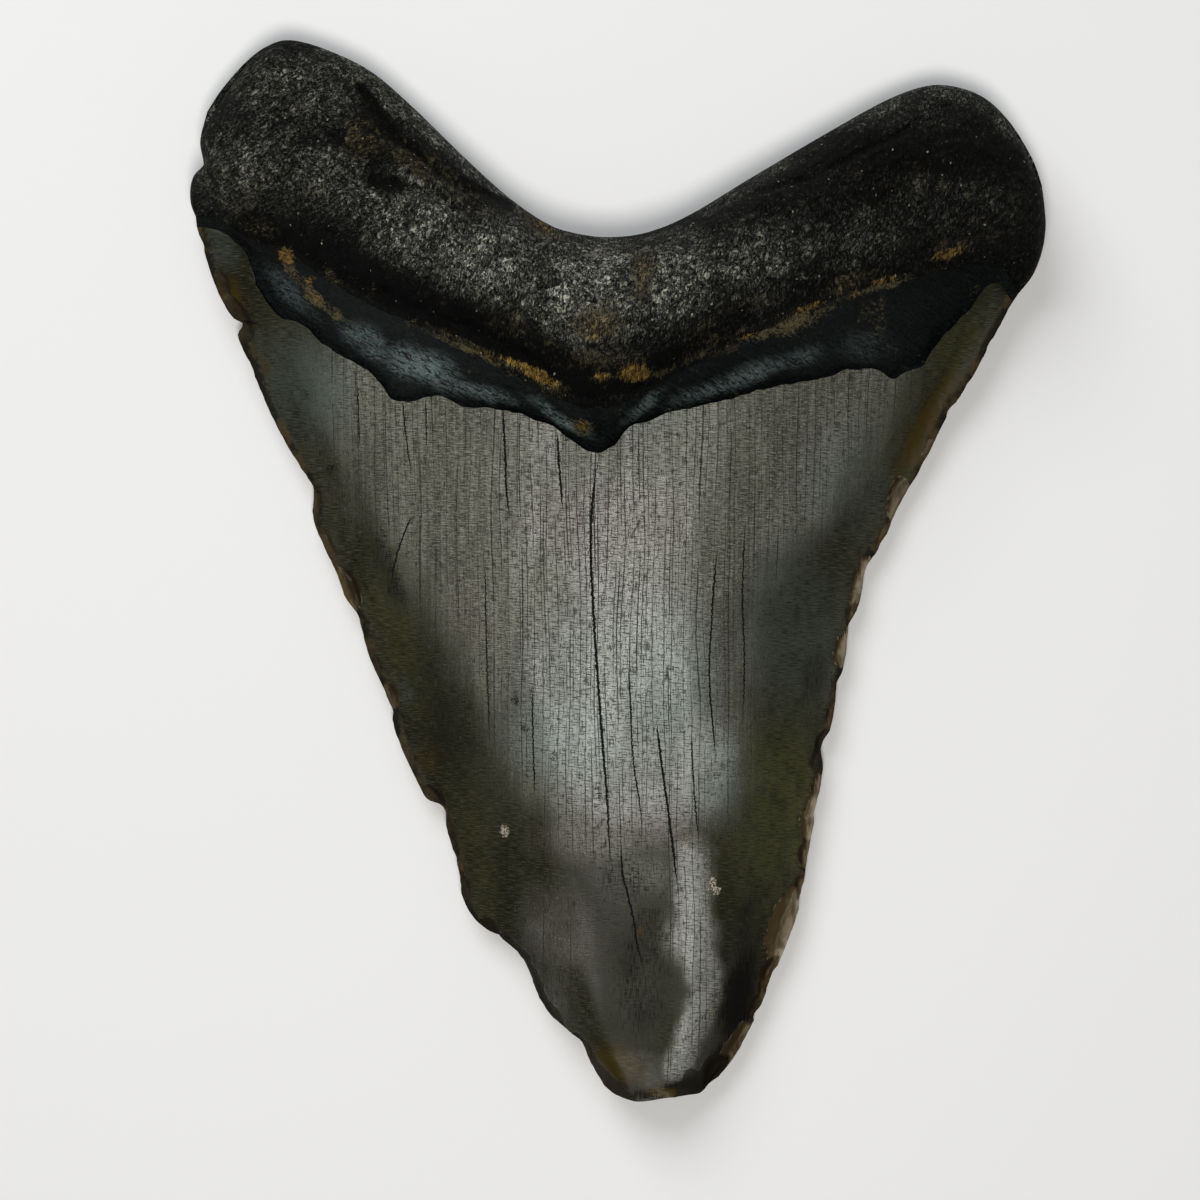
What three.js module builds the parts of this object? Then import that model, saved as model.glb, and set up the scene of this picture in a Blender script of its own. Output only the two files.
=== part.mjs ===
// Fossil megalodon tooth, one solid, lying on its flatter labial face with its lingual face up.
// Millimetres. +X to the viewer's right, +Y from the tip to the root, +Z up from the surface it lies on.
// The origin is below the middle of the tooth, on that surface.
import * as THREE from 'three';

// Driving dimensions
const TOOTH_LENGTH = 120;
const TORUS_HEIGHT = 25.5;
const LOBE_HEIGHT = 15.2;
const CUTTING_EDGE_HEIGHT = 2.8;
const CROWN_SHOULDER_EDGE_HEIGHT = 5.2;
const ROOT_EDGE_HEIGHT = 7;
const NOTCH_EDGE_HEIGHT = 9.5;

// Least thickness of the chipped edges
const THINNEST_WALL = 0.7;

// Cross-section of the crown: what its middle and its flanks take off the height, and where flanks start
const MIDDLE_DROP = 0.3;
const FLANK_DROP = 0.7;
const FLANK_START = 0.28;
const SHOULDER_START = 0.75;

// Relief of the crown. Sides run from -1 to 1 across it, and lengths from 0 at the tip to 1 at the bourlette.
const TIP_TROUGH = { depth: 0.55, side: -0.08, width: 0.3 };
const TIP_RIDGE = { height: 0.5, side: 0.4, width: 0.2 };
const TIP_RELIEF = { begins: 0.02, full: 0.09, fades: 0.2, ends: 0.34 };
const CENTRE_FOLD = { depth: 0.4, width: 0.03, begins: 0.86 };

// The bourlette lies a step below the enamel, swells, and climbs to a crease under the root
const ENAMEL_STEP = 0.5;
const STEP_INSET = 0.12;
const STEP_FALL = { ends: 0.2, returns: 0.35, gone: 0.8 };
const BOURLETTE_SWELL = 0.5;
const CREASE_RISE = 2.4;

// The root: how far in from its sides and its top it is rounded, and how its crest rises and falls
const SIDE_ROUNDING = 0.1;
const TOP_ROUNDING = 0.36;
const TORUS_SPREAD = 0.25;
const TORUS_TOP = 0.36;
const ROOT_EDGE_RISE = 0.6;
const ROOT_START = { before: -0.04, full: 0.02, relief: 0.15 };
const CREST_FALL = { share: 0.24, begins: 0.25, power: 1.6 };
const NOTCH_SPREAD = 0.16;
const ROOT_ROUGHNESS = { coarse: 0.45, coarseSize: 5.2, medium: 0.27, mediumSize: 2.4 };
const ROUGHNESS_SHIFT = 17;

// The labial side: its enamel ends on an arc that reaches into the root, with a step and a hollow neck beyond
const LABIAL_ARC = 0.5;
const LABIAL_STEP = 0.5;
const LABIAL_STEP_WIDTH = 0.08;
const LABIAL_STEP_FADE = 0.45;
const NECK_HOLLOW = { depth: 0.9, spread: 0.2 };
const SHOULDER_FADE = 0.5;

// The plan is drawn on a grid with x to the right and y down, and scaled to the length
const PLAN_TOP = 43;
const PLAN_BOTTOM = 1101;
const PLAN_LEFT = 190.5;
const PLAN_RIGHT = 1043;
const PLAN_SCALE = TOOTH_LENGTH / (PLAN_BOTTOM - PLAN_TOP);
const PLAN_MIDDLE_X = (PLAN_LEFT + PLAN_RIGHT) / 2;
const PLAN_MIDDLE_Y = (PLAN_TOP + PLAN_BOTTOM) / 2;

// Height of the lingual face along its middle, from the line of the shoulders to the tip in even steps
const CROWN_HEIGHTS = [21.5, 19.6, 16.8, 14.4, 12.9, 11.8, 10.8, 9.6, 8.3, 6.8];

// Where the whole cutting edges would run, at the same even steps, before the tooth was chipped and broken
const FIRST_EDGE_STEP = 200;
const EDGE_STEP = 100;
const WHOLE_LEFT_EDGE = [187, 218, 261, 302, 340, 381, 420, 459, 512, 588];
const WHOLE_RIGHT_EDGE = [1068, 1015, 962, 908, 866, 843, 825, 806, 770, 718];

// Left cutting edge from the broken tip up to the root, with its chips
const LEFT_EDGE = [
  [604, 1087], [590, 1064], [579, 1040], [557, 1024], [542, 1006], [533, 985], [520, 958], [506, 940],
  [488, 932], [472, 918], [461, 896], [458, 872], [447, 834], [440, 808], [426, 800], [416, 782],
  [396, 738], [386, 698], [368, 657], [358, 622], [344, 598], [336, 575], [321, 543], [312, 519],
  [308, 482], [294, 460], [271, 417], [256, 382], [246, 358], [237, 336], [240, 323], [231, 316],
  [219, 295], [207, 262], [197, 227],
];

// Right cutting edge from the broken tip up to the root
const RIGHT_EDGE = [
  [719, 1079], [736, 1058], [750, 1032], [765, 1000], [785, 952], [798, 917], [804, 890], [809, 856],
  [816, 820], [824, 770], [823, 750], [832, 728], [839, 690], [847, 657], [850, 630], [861, 602],
  [868, 568], [885, 542], [894, 519], [905, 497], [927, 460], [946, 420], [970, 382], [982, 360],
  [1001, 324], [1012, 303],
];

// Broken tip, left to right
const TIP_EDGE = [[604, 1087], [618, 1097], [640, 1101], [668, 1097], [698, 1096], [709, 1086], [719, 1079]];

// Lower border of the bourlette, where the enamel begins, left to right
const ENAMEL_BORDER = [
  [197, 227], [212, 229], [227, 236], [240, 246], [249, 258], [252, 274], [265, 298], [283, 319], [308, 328],
  [319, 340], [338, 356], [360, 367], [380, 382], [394, 401], [408, 405], [444, 400], [464, 411],
  [500, 413], [548, 428], [571, 444], [598, 456], [614, 448], [630, 432], [662, 419], [712, 407],
  [752, 396], [800, 386], [857, 371], [878, 373], [892, 381], [904, 372], [921, 366], [940, 339],
  [970, 309], [983, 289], [996, 284], [1005, 292], [1012, 303],
];

// Crease between the root and the bourlette, left to right
const ROOT_BORDER = [
  [196, 217], [213, 219], [232, 228], [258, 243], [285, 250], [318, 276], [380, 314], [465, 352],
  [520, 384], [565, 407], [598, 415], [628, 407], [670, 383], [730, 352], [795, 322], [850, 299],
  [920, 280], [970, 267], [1000, 270], [1012, 284], [1018, 294],
];

// Outline of the root: its left side and right side upward, and its top over both lobes
const ROOT_LEFT = [[196, 217], [191, 202], [193, 182], [205, 168], [202, 143], [209, 114]];
const ROOT_RIGHT = [[1018, 294], [1033, 274], [1042, 245], [1043, 215], [1040, 188]];
const ROOT_TOP = [
  [209, 114], [224, 91], [248, 64], [270, 48], [294, 43], [330, 53], [372, 74], [412, 108], [462, 157],
  [505, 197], [545, 226], [575, 237], [610, 241], [648, 236], [690, 218], [745, 184], [820, 139],
  [880, 105], [918, 90], [946, 88], [978, 98], [1006, 122], [1030, 160], [1040, 188],
];

// Grooves and ledges in the root, and pits in it with their radii
const ROOT_GROOVES = [
  [[345, 82], [372, 104], [386, 128], [402, 150], [445, 182], [462, 196], [512, 212]],
  [[292, 130], [350, 155], [400, 190], [475, 225]],
  [[915, 130], [880, 150], [800, 190], [720, 212], [680, 230]],
];
const ROOT_GROOVE = { depth: 0.9, width: 1.5 };
const ROOT_PITS = [
  { at: [380, 190], radius: 1.2, depth: 1.0 },
  { at: [765, 225], radius: 1.6, depth: 1.1 },
  { at: [750, 240], radius: 1.3, depth: 0.9 },
  { at: [655, 372], radius: 1.8, depth: 0.8 },
  { at: [555, 372], radius: 1.6, depth: 0.8 },
  { at: [345, 235], radius: 1.4, depth: 0.7 },
  { at: [870, 255], radius: 1.5, depth: 0.8 },
];

// Flakes broken off the cutting edges
const EDGE_CHIPS = [
  { at: [232, 318], radius: 3.2, depth: 1.3 },
  { at: [350, 588], radius: 2.2, depth: 0.9 },
  { at: [328, 548], radius: 1.6, depth: 0.8 },
  { at: [436, 806], radius: 2.4, depth: 1.2 },
  { at: [520, 965], radius: 3.4, depth: 0.9 },
  { at: [786, 930], radius: 3.4, depth: 1.3 },
  { at: [770, 985], radius: 2.2, depth: 1.0 },
  { at: [738, 1046], radius: 2.6, depth: 1.1 },
  { at: [812, 815], radius: 2.0, depth: 1.0 },
  { at: [818, 748], radius: 1.5, depth: 1.1 },
  { at: [845, 642], radius: 1.8, depth: 0.8 },
  { at: [862, 580], radius: 2.2, depth: 1.0 },
  { at: [899, 496], radius: 2.0, depth: 0.8 },
  { at: [690, 1088], radius: 2.8, depth: 1.4 },
];

// Mesh density
const TIP_ROWS = [0, 0.006, 0.02];
const CROWN_ROWS = 48;
const BOURLETTE_ROWS = 4;
const ROOT_ROWS = 19;
const TIP_COLUMNS = 20;
const BASE_COLUMNS = 60;
const ROOT_ROW_CROWDING = 1.25;
const COLUMN_GROWTH = 0.6;
const CURVE_DIVISIONS = 24;
const RIM_COLUMNS = [0.03, 0.07, 0.12, 0.19, 0.28];
const MIDDLE_COLUMNS = [0.36, 0.43, 0.5, 0.57, 0.64];
const CROWN_UNDER_COLUMNS = [...RIM_COLUMNS, ...mirrored(RIM_COLUMNS)];
const ROOT_UNDER_COLUMNS = [...RIM_COLUMNS, ...MIDDLE_COLUMNS, ...mirrored(RIM_COLUMNS)];

// The crown's underside is flat this far out from the middle, and this plate inside it is one flat piece
const FLAT_REACH = 0.64;
const FLAT_START = 0.06;
const EDGE_TURN_POWER = 1.4;
const REST_PLATE = [[560, 880], [700, 880], [700, 500], [560, 500]];

// Colour and finish
const FOSSIL_GREY = 0x6f7068;
const FOSSIL_ROUGHNESS = 0.45;

// Numbers that scramble a lattice cell into its noise value, and the least step short of a list's end
const CELL_SCRAMBLE = { across: 127.1, up: 311.7, size: 43758.5453 };
const LEAST_STEP = 1e-6;

// Small helpers for shapes of numbers

function mirrored(shares) {
  return shares.map((share) => 1 - share).reverse();
}

function clamp01(value) {
  return Math.min(1, Math.max(0, value));
}

function smooth(from, to, value) {
  const t = clamp01((value - from) / (to - from));
  return t * t * (3 - 2 * t);
}

// Like smooth, with its curvature also even at both ends
function smoother(from, to, value) {
  const t = clamp01((value - from) / (to - from));
  return t * t * t * (t * (6 * t - 15) + 10);
}

function bump(value, middle, width) {
  const t = (value - middle) / width;
  return Math.exp(-t * t);
}

function mix(a, b, t) {
  return a + (b - a) * t;
}

// A point of the plan as a place in millimetres
function place([x, y]) {
  return new THREE.Vector2((x - PLAN_MIDDLE_X) * PLAN_SCALE, (PLAN_MIDDLE_Y - y) * PLAN_SCALE);
}

function curveThrough(points) {
  const curve = new THREE.SplineCurve(points.map(place));
  curve.arcLengthDivisions = points.length * CURVE_DIVISIONS;
  return curve;
}

const leftEdge = curveThrough(LEFT_EDGE);
const rightEdge = curveThrough(RIGHT_EDGE);
const tipEdge = curveThrough(TIP_EDGE);
const enamelBorder = curveThrough(ENAMEL_BORDER);
const rootBorder = curveThrough(ROOT_BORDER);
const rootLeft = curveThrough(ROOT_LEFT);
const rootRight = curveThrough(ROOT_RIGHT);
const rootTop = curveThrough(ROOT_TOP);

// A point inside four meeting curves, u from left to right and v from bottom to top
function insidePatch(bottom, top, left, right, u, v) {
  const across = bottom.getPointAt(u).lerp(top.getPointAt(u), v);
  const along = left.getPointAt(v).lerp(right.getPointAt(v), u);
  const lower = bottom.getPointAt(0).lerp(bottom.getPointAt(1), u);
  const upper = top.getPointAt(0).lerp(top.getPointAt(1), u);
  return across.add(along).sub(lower.lerp(upper, v));
}

function crownPlace(u, v) {
  return insidePatch(tipEdge, enamelBorder, leftEdge, rightEdge, u, v);
}

function bourlettePlace(u, w) {
  return enamelBorder.getPointAt(u).lerp(rootBorder.getPointAt(u), w);
}

function rootPlace(u, w) {
  return insidePatch(rootBorder, rootTop, rootLeft, rootRight, u, w);
}

// Repeatable noise between -1 and 1 on a lattice of unit cells
function latticeValue(i, j) {
  const wave = Math.sin(i * CELL_SCRAMBLE.across + j * CELL_SCRAMBLE.up) * CELL_SCRAMBLE.size;
  return 2 * (wave - Math.floor(wave)) - 1;
}

function noise(x, y) {
  const i = Math.floor(x);
  const j = Math.floor(y);
  const tx = smooth(0, 1, x - i);
  const ty = smooth(0, 1, y - j);
  const low = mix(latticeValue(i, j), latticeValue(i + 1, j), tx);
  const high = mix(latticeValue(i, j + 1), latticeValue(i + 1, j + 1), tx);
  return mix(low, high, ty);
}

// Shortest distance from a place to a path of straight steps
function distanceToPath(point, path) {
  let nearest = Infinity;
  for (let i = 1; i < path.length; i += 1) {
    const step = path[i].clone().sub(path[i - 1]);
    const t = clamp01(point.clone().sub(path[i - 1]).dot(step) / step.lengthSq());
    nearest = Math.min(nearest, point.distanceTo(path[i - 1].clone().addScaledVector(step, t)));
  }
  return nearest;
}

function hollows(point, list) {
  return list.reduce((sum, item) => {
    return sum + item.depth * bump(point.distanceTo(place(item.at)), 0, item.radius);
  }, 0);
}

// A value between those listed at even steps, with a smooth run from one to the next
function valueAlong(values, t) {
  const last = values.length - 1;
  const position = Math.min(Math.max(t, 0), last - LEAST_STEP);
  const i = Math.floor(position);
  const f = position - i;
  const before = values[Math.max(i - 1, 0)];
  const after = values[Math.min(i + 2, last)];
  const slopeIn = (values[i + 1] - before) / 2;
  const slopeOut = (after - values[i]) / 2;
  const curve = (2 * f - 3) * f * f;
  return values[i] * (1 + curve) - values[i + 1] * curve
    + slopeIn * f * (1 - f) * (1 - f) - slopeOut * f * f * (1 - f);
}

// Steps down the tooth at a place, counted from the line of the shoulders
function stepsDown(point) {
  const planY = PLAN_MIDDLE_Y - point.y / PLAN_SCALE;
  return (planY - FIRST_EDGE_STEP) / EDGE_STEP;
}

// How far a place lies from the middle of the crown: 0 in the middle, 1 on a whole cutting edge
function sideways(point) {
  const planX = PLAN_MIDDLE_X + point.x / PLAN_SCALE;
  const left = valueAlong(WHOLE_LEFT_EDGE, stepsDown(point));
  const right = valueAlong(WHOLE_RIGHT_EDGE, stepsDown(point));
  return (2 * planX - left - right) / (right - left);
}

// Share of the full height across the crown: a broad middle, steep flanks and thin edges
function crownSection(side) {
  const out = Math.min(1, Math.abs(side));
  return 1 - MIDDLE_DROP * out * out - FLANK_DROP * smoother(FLANK_START, 1, out);
}

function crownEdgeHeight(v) {
  return mix(CUTTING_EDGE_HEIGHT, CROWN_SHOULDER_EDGE_HEIGHT, smooth(SHOULDER_START, 1, v));
}

// Height of the whole, unworn lingual face at a place
function lensHeight(point, edge) {
  return edge + (valueAlong(CROWN_HEIGHTS, stepsDown(point)) - edge) * crownSection(sideways(point));
}

function crownHeight(u, v) {
  const point = crownPlace(u, v);
  const edge = crownEdgeHeight(v);
  if (u === 0 || u === 1 || v === 0) {
    return edge;
  }
  const side = sideways(point);
  const pastTip = smooth(TIP_RELIEF.begins, TIP_RELIEF.full, v);
  const nearTip = pastTip * (1 - smooth(TIP_RELIEF.fades, TIP_RELIEF.ends, v));
  const trough = TIP_TROUGH.depth * bump(side, TIP_TROUGH.side, TIP_TROUGH.width) * nearTip;
  const ridge = TIP_RIDGE.height * bump(side, TIP_RIDGE.side, TIP_RIDGE.width) * nearTip;
  const fold = CENTRE_FOLD.depth * bump(u, 0.5, CENTRE_FOLD.width) * smooth(CENTRE_FOLD.begins, 1, v);
  const height = lensHeight(point, edge) - trough + ridge - fold - hollows(point, EDGE_CHIPS);
  return Math.max(height, crownUnderside(u, v) + THINNEST_WALL);
}

// Share of the full relief along the neck, none where the neck meets the outline
function neckShare(u) {
  return crownSection(2 * u - 1);
}

function creaseHeight(u) {
  return lensHeight(rootBorder.getPointAt(u), CROWN_SHOULDER_EDGE_HEIGHT) + CREASE_RISE * neckShare(u);
}

function bourletteHeight(u, w) {
  const inside = smooth(0, STEP_INSET, Math.min(u, 1 - u));
  const depth = smooth(0, STEP_FALL.ends, w) * (1 - smooth(STEP_FALL.returns, STEP_FALL.gone, w));
  const swell = BOURLETTE_SWELL * Math.sin(Math.PI * w) * neckShare(u);
  return mix(crownHeight(u, 1), creaseHeight(u), w) + swell - ENAMEL_STEP * inside * depth;
}

function rootEdgeHeight(u, w) {
  const side = mix(CROWN_SHOULDER_EDGE_HEIGHT, ROOT_EDGE_HEIGHT, smooth(0, ROOT_EDGE_RISE, w));
  const notch = (NOTCH_EDGE_HEIGHT - ROOT_EDGE_HEIGHT) * bump(u, 0.5, NOTCH_SPREAD) * w;
  return side + notch;
}

// Share of the full height near the root's outline, which is rounded like a quarter ellipse
function rootRounding(u, w) {
  const fromSide = 1 - clamp01(Math.min(u, 1 - u) / SIDE_ROUNDING);
  const fromTop = 1 - clamp01((1 - w) / TOP_ROUNDING);
  const depth = clamp01(1 - Math.hypot(fromSide, fromTop));
  return Math.sqrt(1 - (1 - depth) * (1 - depth));
}

function rootRelief(point) {
  const { coarse, coarseSize, medium, mediumSize } = ROOT_ROUGHNESS;
  const lumps = coarse * noise(point.x / coarseSize, point.y / coarseSize);
  const grains = medium * noise(point.x / mediumSize + ROUGHNESS_SHIFT, point.y / mediumSize);
  const grooves = ROOT_GROOVES.reduce((sum, path) => {
    return sum + ROOT_GROOVE.depth * bump(distanceToPath(point, path.map(place)), 0, ROOT_GROOVE.width);
  }, 0);
  return lumps + grains - grooves - hollows(point, ROOT_PITS);
}

function rootHeight(u, w) {
  const edge = rootEdgeHeight(u, w);
  const crest = mix(LOBE_HEIGHT, TORUS_HEIGHT, bump(u, 0.5, TORUS_SPREAD));
  const pastCrest = clamp01((w - CREST_FALL.begins) / (1 - CREST_FALL.begins));
  const fall = 1 - CREST_FALL.share * Math.pow(pastCrest, CREST_FALL.power);
  const rounding = rootRounding(u, w);
  const body = mix(edge, crest * fall, rounding);
  const start = mix(creaseHeight(u), edge, smooth(0, 1, w));
  const relief = rootRelief(rootPlace(u, w)) * rounding * smooth(0, ROOT_START.relief, w);
  const share = smooth(ROOT_START.before, TORUS_TOP, w) * smooth(0, ROOT_START.full, w);
  return mix(start, body, share) + relief;
}

// Underside: flat where the tooth lies, turned up to the outline
function crownUnderside(u, v) {
  const edge = crownEdgeHeight(v);
  if (v === 0) {
    return edge;
  }
  const side = Math.abs(sideways(crownPlace(u, v)));
  const towardEdge = Math.pow(clamp01((side - FLAT_REACH) / (1 - FLAT_REACH)), EDGE_TURN_POWER);
  return edge * Math.max(towardEdge, 1 - smooth(0, FLAT_START, v));
}

function rootUnderside(u, w) {
  const border = LABIAL_ARC * (1 - Math.pow(2 * u - 1, 2));
  const pastBorder = w - border;
  const fading = 1 - smooth(LABIAL_STEP_WIDTH, LABIAL_STEP_FADE, pastBorder);
  const step = LABIAL_STEP * smooth(-LABIAL_STEP_WIDTH, 0, pastBorder) * fading;
  const neck = NECK_HOLLOW.depth * bump(u, 0.5, NECK_HOLLOW.spread) * smooth(0, LABIAL_STEP_FADE, pastBorder);
  const shoulder = crownUnderside(u, 1) * (1 - smooth(0, SHOULDER_FADE, w));
  const round = rootEdgeHeight(u, w) * (1 - rootRounding(u, w));
  return Math.max(shoulder, round) + step * rootRounding(u, w) + neck;
}

// The rows of the tooth from the tip to the root's top, each with its place and height functions
function toothRows() {
  const crown = { place: crownPlace, top: crownHeight, under: crownUnderside, columns: CROWN_UNDER_COLUMNS };
  const root = { place: rootPlace, top: rootHeight, under: rootUnderside, columns: ROOT_UNDER_COLUMNS };
  const neckUnderside = (u) => crownUnderside(u, 1);
  const bourlette = { ...crown, place: bourlettePlace, top: bourletteHeight, under: neckUnderside };
  const rows = TIP_ROWS.map((v) => ({ ...crown, v }));
  const lastTipRow = TIP_ROWS[TIP_ROWS.length - 1];
  for (let i = 1; i <= CROWN_ROWS; i += 1) {
    rows.push({ ...crown, v: mix(lastTipRow, 1, i / CROWN_ROWS) });
  }
  for (let i = 1; i <= BOURLETTE_ROWS; i += 1) {
    rows.push({ ...bourlette, v: i / BOURLETTE_ROWS });
  }
  for (let i = 1; i <= ROOT_ROWS; i += 1) {
    rows.push({ ...root, v: 1 - Math.pow(1 - i / ROOT_ROWS, ROOT_ROW_CROWDING) });
  }
  return rows;
}

// Two rows of vertices joined by triangles, whatever their counts. Every corner of the outline is
// joined to a vertex inside it, so nowhere do the two faces of the tooth share a triangle.
function joinRows(lower, upper, triangles, faceUp, lowerIsOutline = false) {
  let i = 0;
  let j = 0;
  while (i < lower.length - 1 || j < upper.length - 1) {
    const nextLower = i < lower.length - 1 ? lower[i + 1].u : Infinity;
    const nextUpper = j < upper.length - 1 ? upper[j + 1].u : Infinity;
    const tieGoesLower = (nextLower < 0.5) !== lowerIsOutline;
    const stepLower = nextLower === nextUpper ? tieGoesLower : nextLower < nextUpper;
    const corner = stepLower ? lower[i + 1] : upper[j + 1];
    const triangle = [lower[i].index, corner.index, upper[j].index];
    triangles.push(...(faceUp ? triangle : triangle.reverse()));
    i += stepLower ? 1 : 0;
    j += stepLower ? 0 : 1;
  }
}

// The flat middle of the underside, between the inner ends of its two rims
function joinFlat(leftSide, rightSide, plate, positions, triangles) {
  const flatPlace = ({ index }) => new THREE.Vector2(positions[3 * index], positions[3 * index + 1]);
  const ring = [...rightSide, ...leftSide.slice().reverse()];
  const vertices = [...ring, ...plate];
  const faces = THREE.ShapeUtils.triangulateShape(ring.map(flatPlace), [plate.map(flatPlace)]);
  faces.push([0, 1, 2].map((i) => ring.length + i), [0, 2, 3].map((i) => ring.length + i));
  for (const face of faces) {
    triangles.push(...face.map((i) => vertices[i].index).reverse());
  }
}

function buildToothGeometry() {
  const positions = [];
  const triangles = [];
  const addVertex = (u, point, height) => {
    positions.push(point.x, point.y, height);
    return { u, index: positions.length / 3 - 1 };
  };
  const rows = toothRows();
  const topRows = rows.map((row, number) => {
    const growth = smooth(0, COLUMN_GROWTH, number / rows.length);
    const columns = Math.round(mix(TIP_COLUMNS, BASE_COLUMNS, growth));
    const shares = Array.from({ length: columns + 1 }, (unused, i) => i / columns);
    return shares.map((u) => addVertex(u, row.place(u, row.v), row.top(u, row.v)));
  });
  const underRows = rows.map((row, number) => {
    const topRow = topRows[number];
    if (number === 0 || number === rows.length - 1) {
      return topRow;
    }
    const inner = row.columns.map((u) => addVertex(u, row.place(u, row.v), row.under(u, row.v)));
    return [topRow[0], ...inner, topRow[topRow.length - 1]];
  });
  const firstFlat = rows.findIndex((row) => row.v >= FLAT_START);
  const lastFlat = rows.findIndex((row) => row.place === bourlettePlace) - 1;
  const half = RIM_COLUMNS.length + 1;
  for (let i = 1; i < rows.length; i += 1) {
    joinRows(topRows[i - 1], topRows[i], triangles, true, i === 1);
    if (i > firstFlat && i <= lastFlat) {
      joinRows(underRows[i - 1].slice(0, half), underRows[i].slice(0, half), triangles, false);
      joinRows(underRows[i - 1].slice(half), underRows[i].slice(half), triangles, false);
    } else {
      joinRows(underRows[i - 1], underRows[i], triangles, false, i === 1);
    }
  }
  const flatRows = underRows.slice(firstFlat, lastFlat + 1);
  const plate = REST_PLATE.map((corner) => addVertex(0, place(corner), 0));
  const leftSide = flatRows.map((row) => row[half - 1]);
  const rightSide = flatRows.map((row) => row[half]);
  joinFlat(leftSide, rightSide, plate, positions, triangles);
  const geometry = new THREE.BufferGeometry();
  geometry.setAttribute('position', new THREE.Float32BufferAttribute(positions, 3));
  geometry.setIndex(triangles);
  geometry.computeVertexNormals();
  return geometry;
}

function toothMaterial() {
  return new THREE.MeshStandardMaterial({ color: FOSSIL_GREY, roughness: FOSSIL_ROUGHNESS, metalness: 0 });
}

const tooth = new THREE.Mesh(buildToothGeometry(), toothMaterial());
tooth.name = 'tooth';

const part = new THREE.Group();
part.add(tooth);

export default part;
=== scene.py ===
# Fossil megalodon tooth lying on its labial face, seen from straight above its lingual face.
import math

import bpy
import numpy as np
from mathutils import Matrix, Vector


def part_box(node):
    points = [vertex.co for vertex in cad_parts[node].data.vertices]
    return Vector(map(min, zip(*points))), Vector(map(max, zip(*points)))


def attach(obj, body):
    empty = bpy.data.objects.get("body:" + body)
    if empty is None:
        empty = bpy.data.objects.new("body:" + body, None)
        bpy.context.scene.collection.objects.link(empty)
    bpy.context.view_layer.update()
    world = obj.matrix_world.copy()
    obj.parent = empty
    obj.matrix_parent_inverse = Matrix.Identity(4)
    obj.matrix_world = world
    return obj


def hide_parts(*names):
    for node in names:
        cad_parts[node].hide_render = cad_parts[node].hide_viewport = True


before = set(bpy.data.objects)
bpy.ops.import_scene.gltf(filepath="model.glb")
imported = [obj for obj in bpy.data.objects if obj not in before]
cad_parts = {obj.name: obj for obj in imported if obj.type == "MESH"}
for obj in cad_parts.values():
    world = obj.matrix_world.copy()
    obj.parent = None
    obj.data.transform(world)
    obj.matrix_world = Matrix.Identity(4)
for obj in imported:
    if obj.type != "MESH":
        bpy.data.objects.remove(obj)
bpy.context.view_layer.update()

MM = 0.001

# The plan is drawn on a grid with x to the right and y down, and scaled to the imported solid's length
PLAN_TOP = 43
PLAN_BOTTOM = 1101
PLAN_LEFT = 190.5
PLAN_RIGHT = 1043
BOX_LOW, BOX_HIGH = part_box("tooth")
TOOTH_LENGTH = (BOX_HIGH.y - BOX_LOW.y) / MM
PLAN_SCALE = TOOTH_LENGTH / (PLAN_BOTTOM - PLAN_TOP)
PLAN_MIDDLE_X = (PLAN_LEFT + PLAN_RIGHT) / 2
PLAN_MIDDLE_Y = (PLAN_TOP + PLAN_BOTTOM) / 2

# Heights in millimetres
TORUS_HEIGHT = 25.0
LOBE_HEIGHT = 15.2
CUTTING_EDGE_HEIGHT = 2.8
SHOULDER_EDGE_HEIGHT = 5.2
ROOT_EDGE_HEIGHT = 7.0
NOTCH_EDGE_HEIGHT = 9.5
THINNEST_WALL = 0.5

# Height of the lingual face along its middle, and the whole cutting edges, in even steps from the shoulders
CROWN_HEIGHTS = [21.5, 19.6, 16.8, 14.4, 12.9, 11.8, 10.8, 9.6, 8.3, 6.8]
FIRST_EDGE_STEP = 200
EDGE_STEP = 100
WHOLE_LEFT_EDGE = [187, 218, 261, 302, 340, 381, 420, 459, 512, 588]
WHOLE_RIGHT_EDGE = [1068, 1015, 962, 908, 866, 843, 825, 806, 770, 718]

# Outlines and borders in the plan
LEFT_EDGE = [
    (604, 1087), (590, 1064), (579, 1040), (557, 1024), (542, 1006), (533, 985), (520, 958), (506, 940),
    (488, 932), (472, 918), (461, 896), (458, 872), (447, 834), (440, 808), (426, 800), (416, 782),
    (396, 738), (386, 698), (368, 657), (358, 622), (344, 598), (336, 575), (321, 543), (312, 519),
    (308, 482), (294, 460), (271, 417), (256, 382), (246, 358), (237, 336), (240, 323), (231, 316),
    (219, 295), (207, 262), (197, 227),
]
RIGHT_EDGE = [
    (719, 1079), (736, 1058), (750, 1032), (765, 1000), (785, 952), (798, 917), (804, 890), (809, 856),
    (816, 820), (824, 770), (823, 750), (832, 728), (839, 690), (847, 657), (850, 630), (861, 602),
    (868, 568), (885, 542), (894, 519), (905, 497), (927, 460), (946, 420), (970, 382), (982, 360),
    (1001, 324), (1012, 303),
]
TIP_EDGE = [(604, 1087), (618, 1097), (640, 1101), (668, 1097), (698, 1096), (709, 1086), (719, 1079)]
ENAMEL_BORDER = [
    (197, 227), (212, 229), (227, 236), (240, 246), (249, 258), (252, 274), (265, 298), (283, 319),
    (292, 321), (308, 328), (319, 340), (338, 356), (360, 367), (380, 382), (394, 401), (408, 405),
    (444, 400), (464, 411), (500, 413), (548, 428), (571, 444), (598, 456), (614, 448), (630, 432),
    (662, 419), (712, 407), (752, 396), (800, 386), (857, 371), (878, 373), (892, 381), (904, 372),
    (921, 366), (940, 339), (970, 309), (983, 289), (996, 284), (1005, 292), (1012, 303),
]
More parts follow.
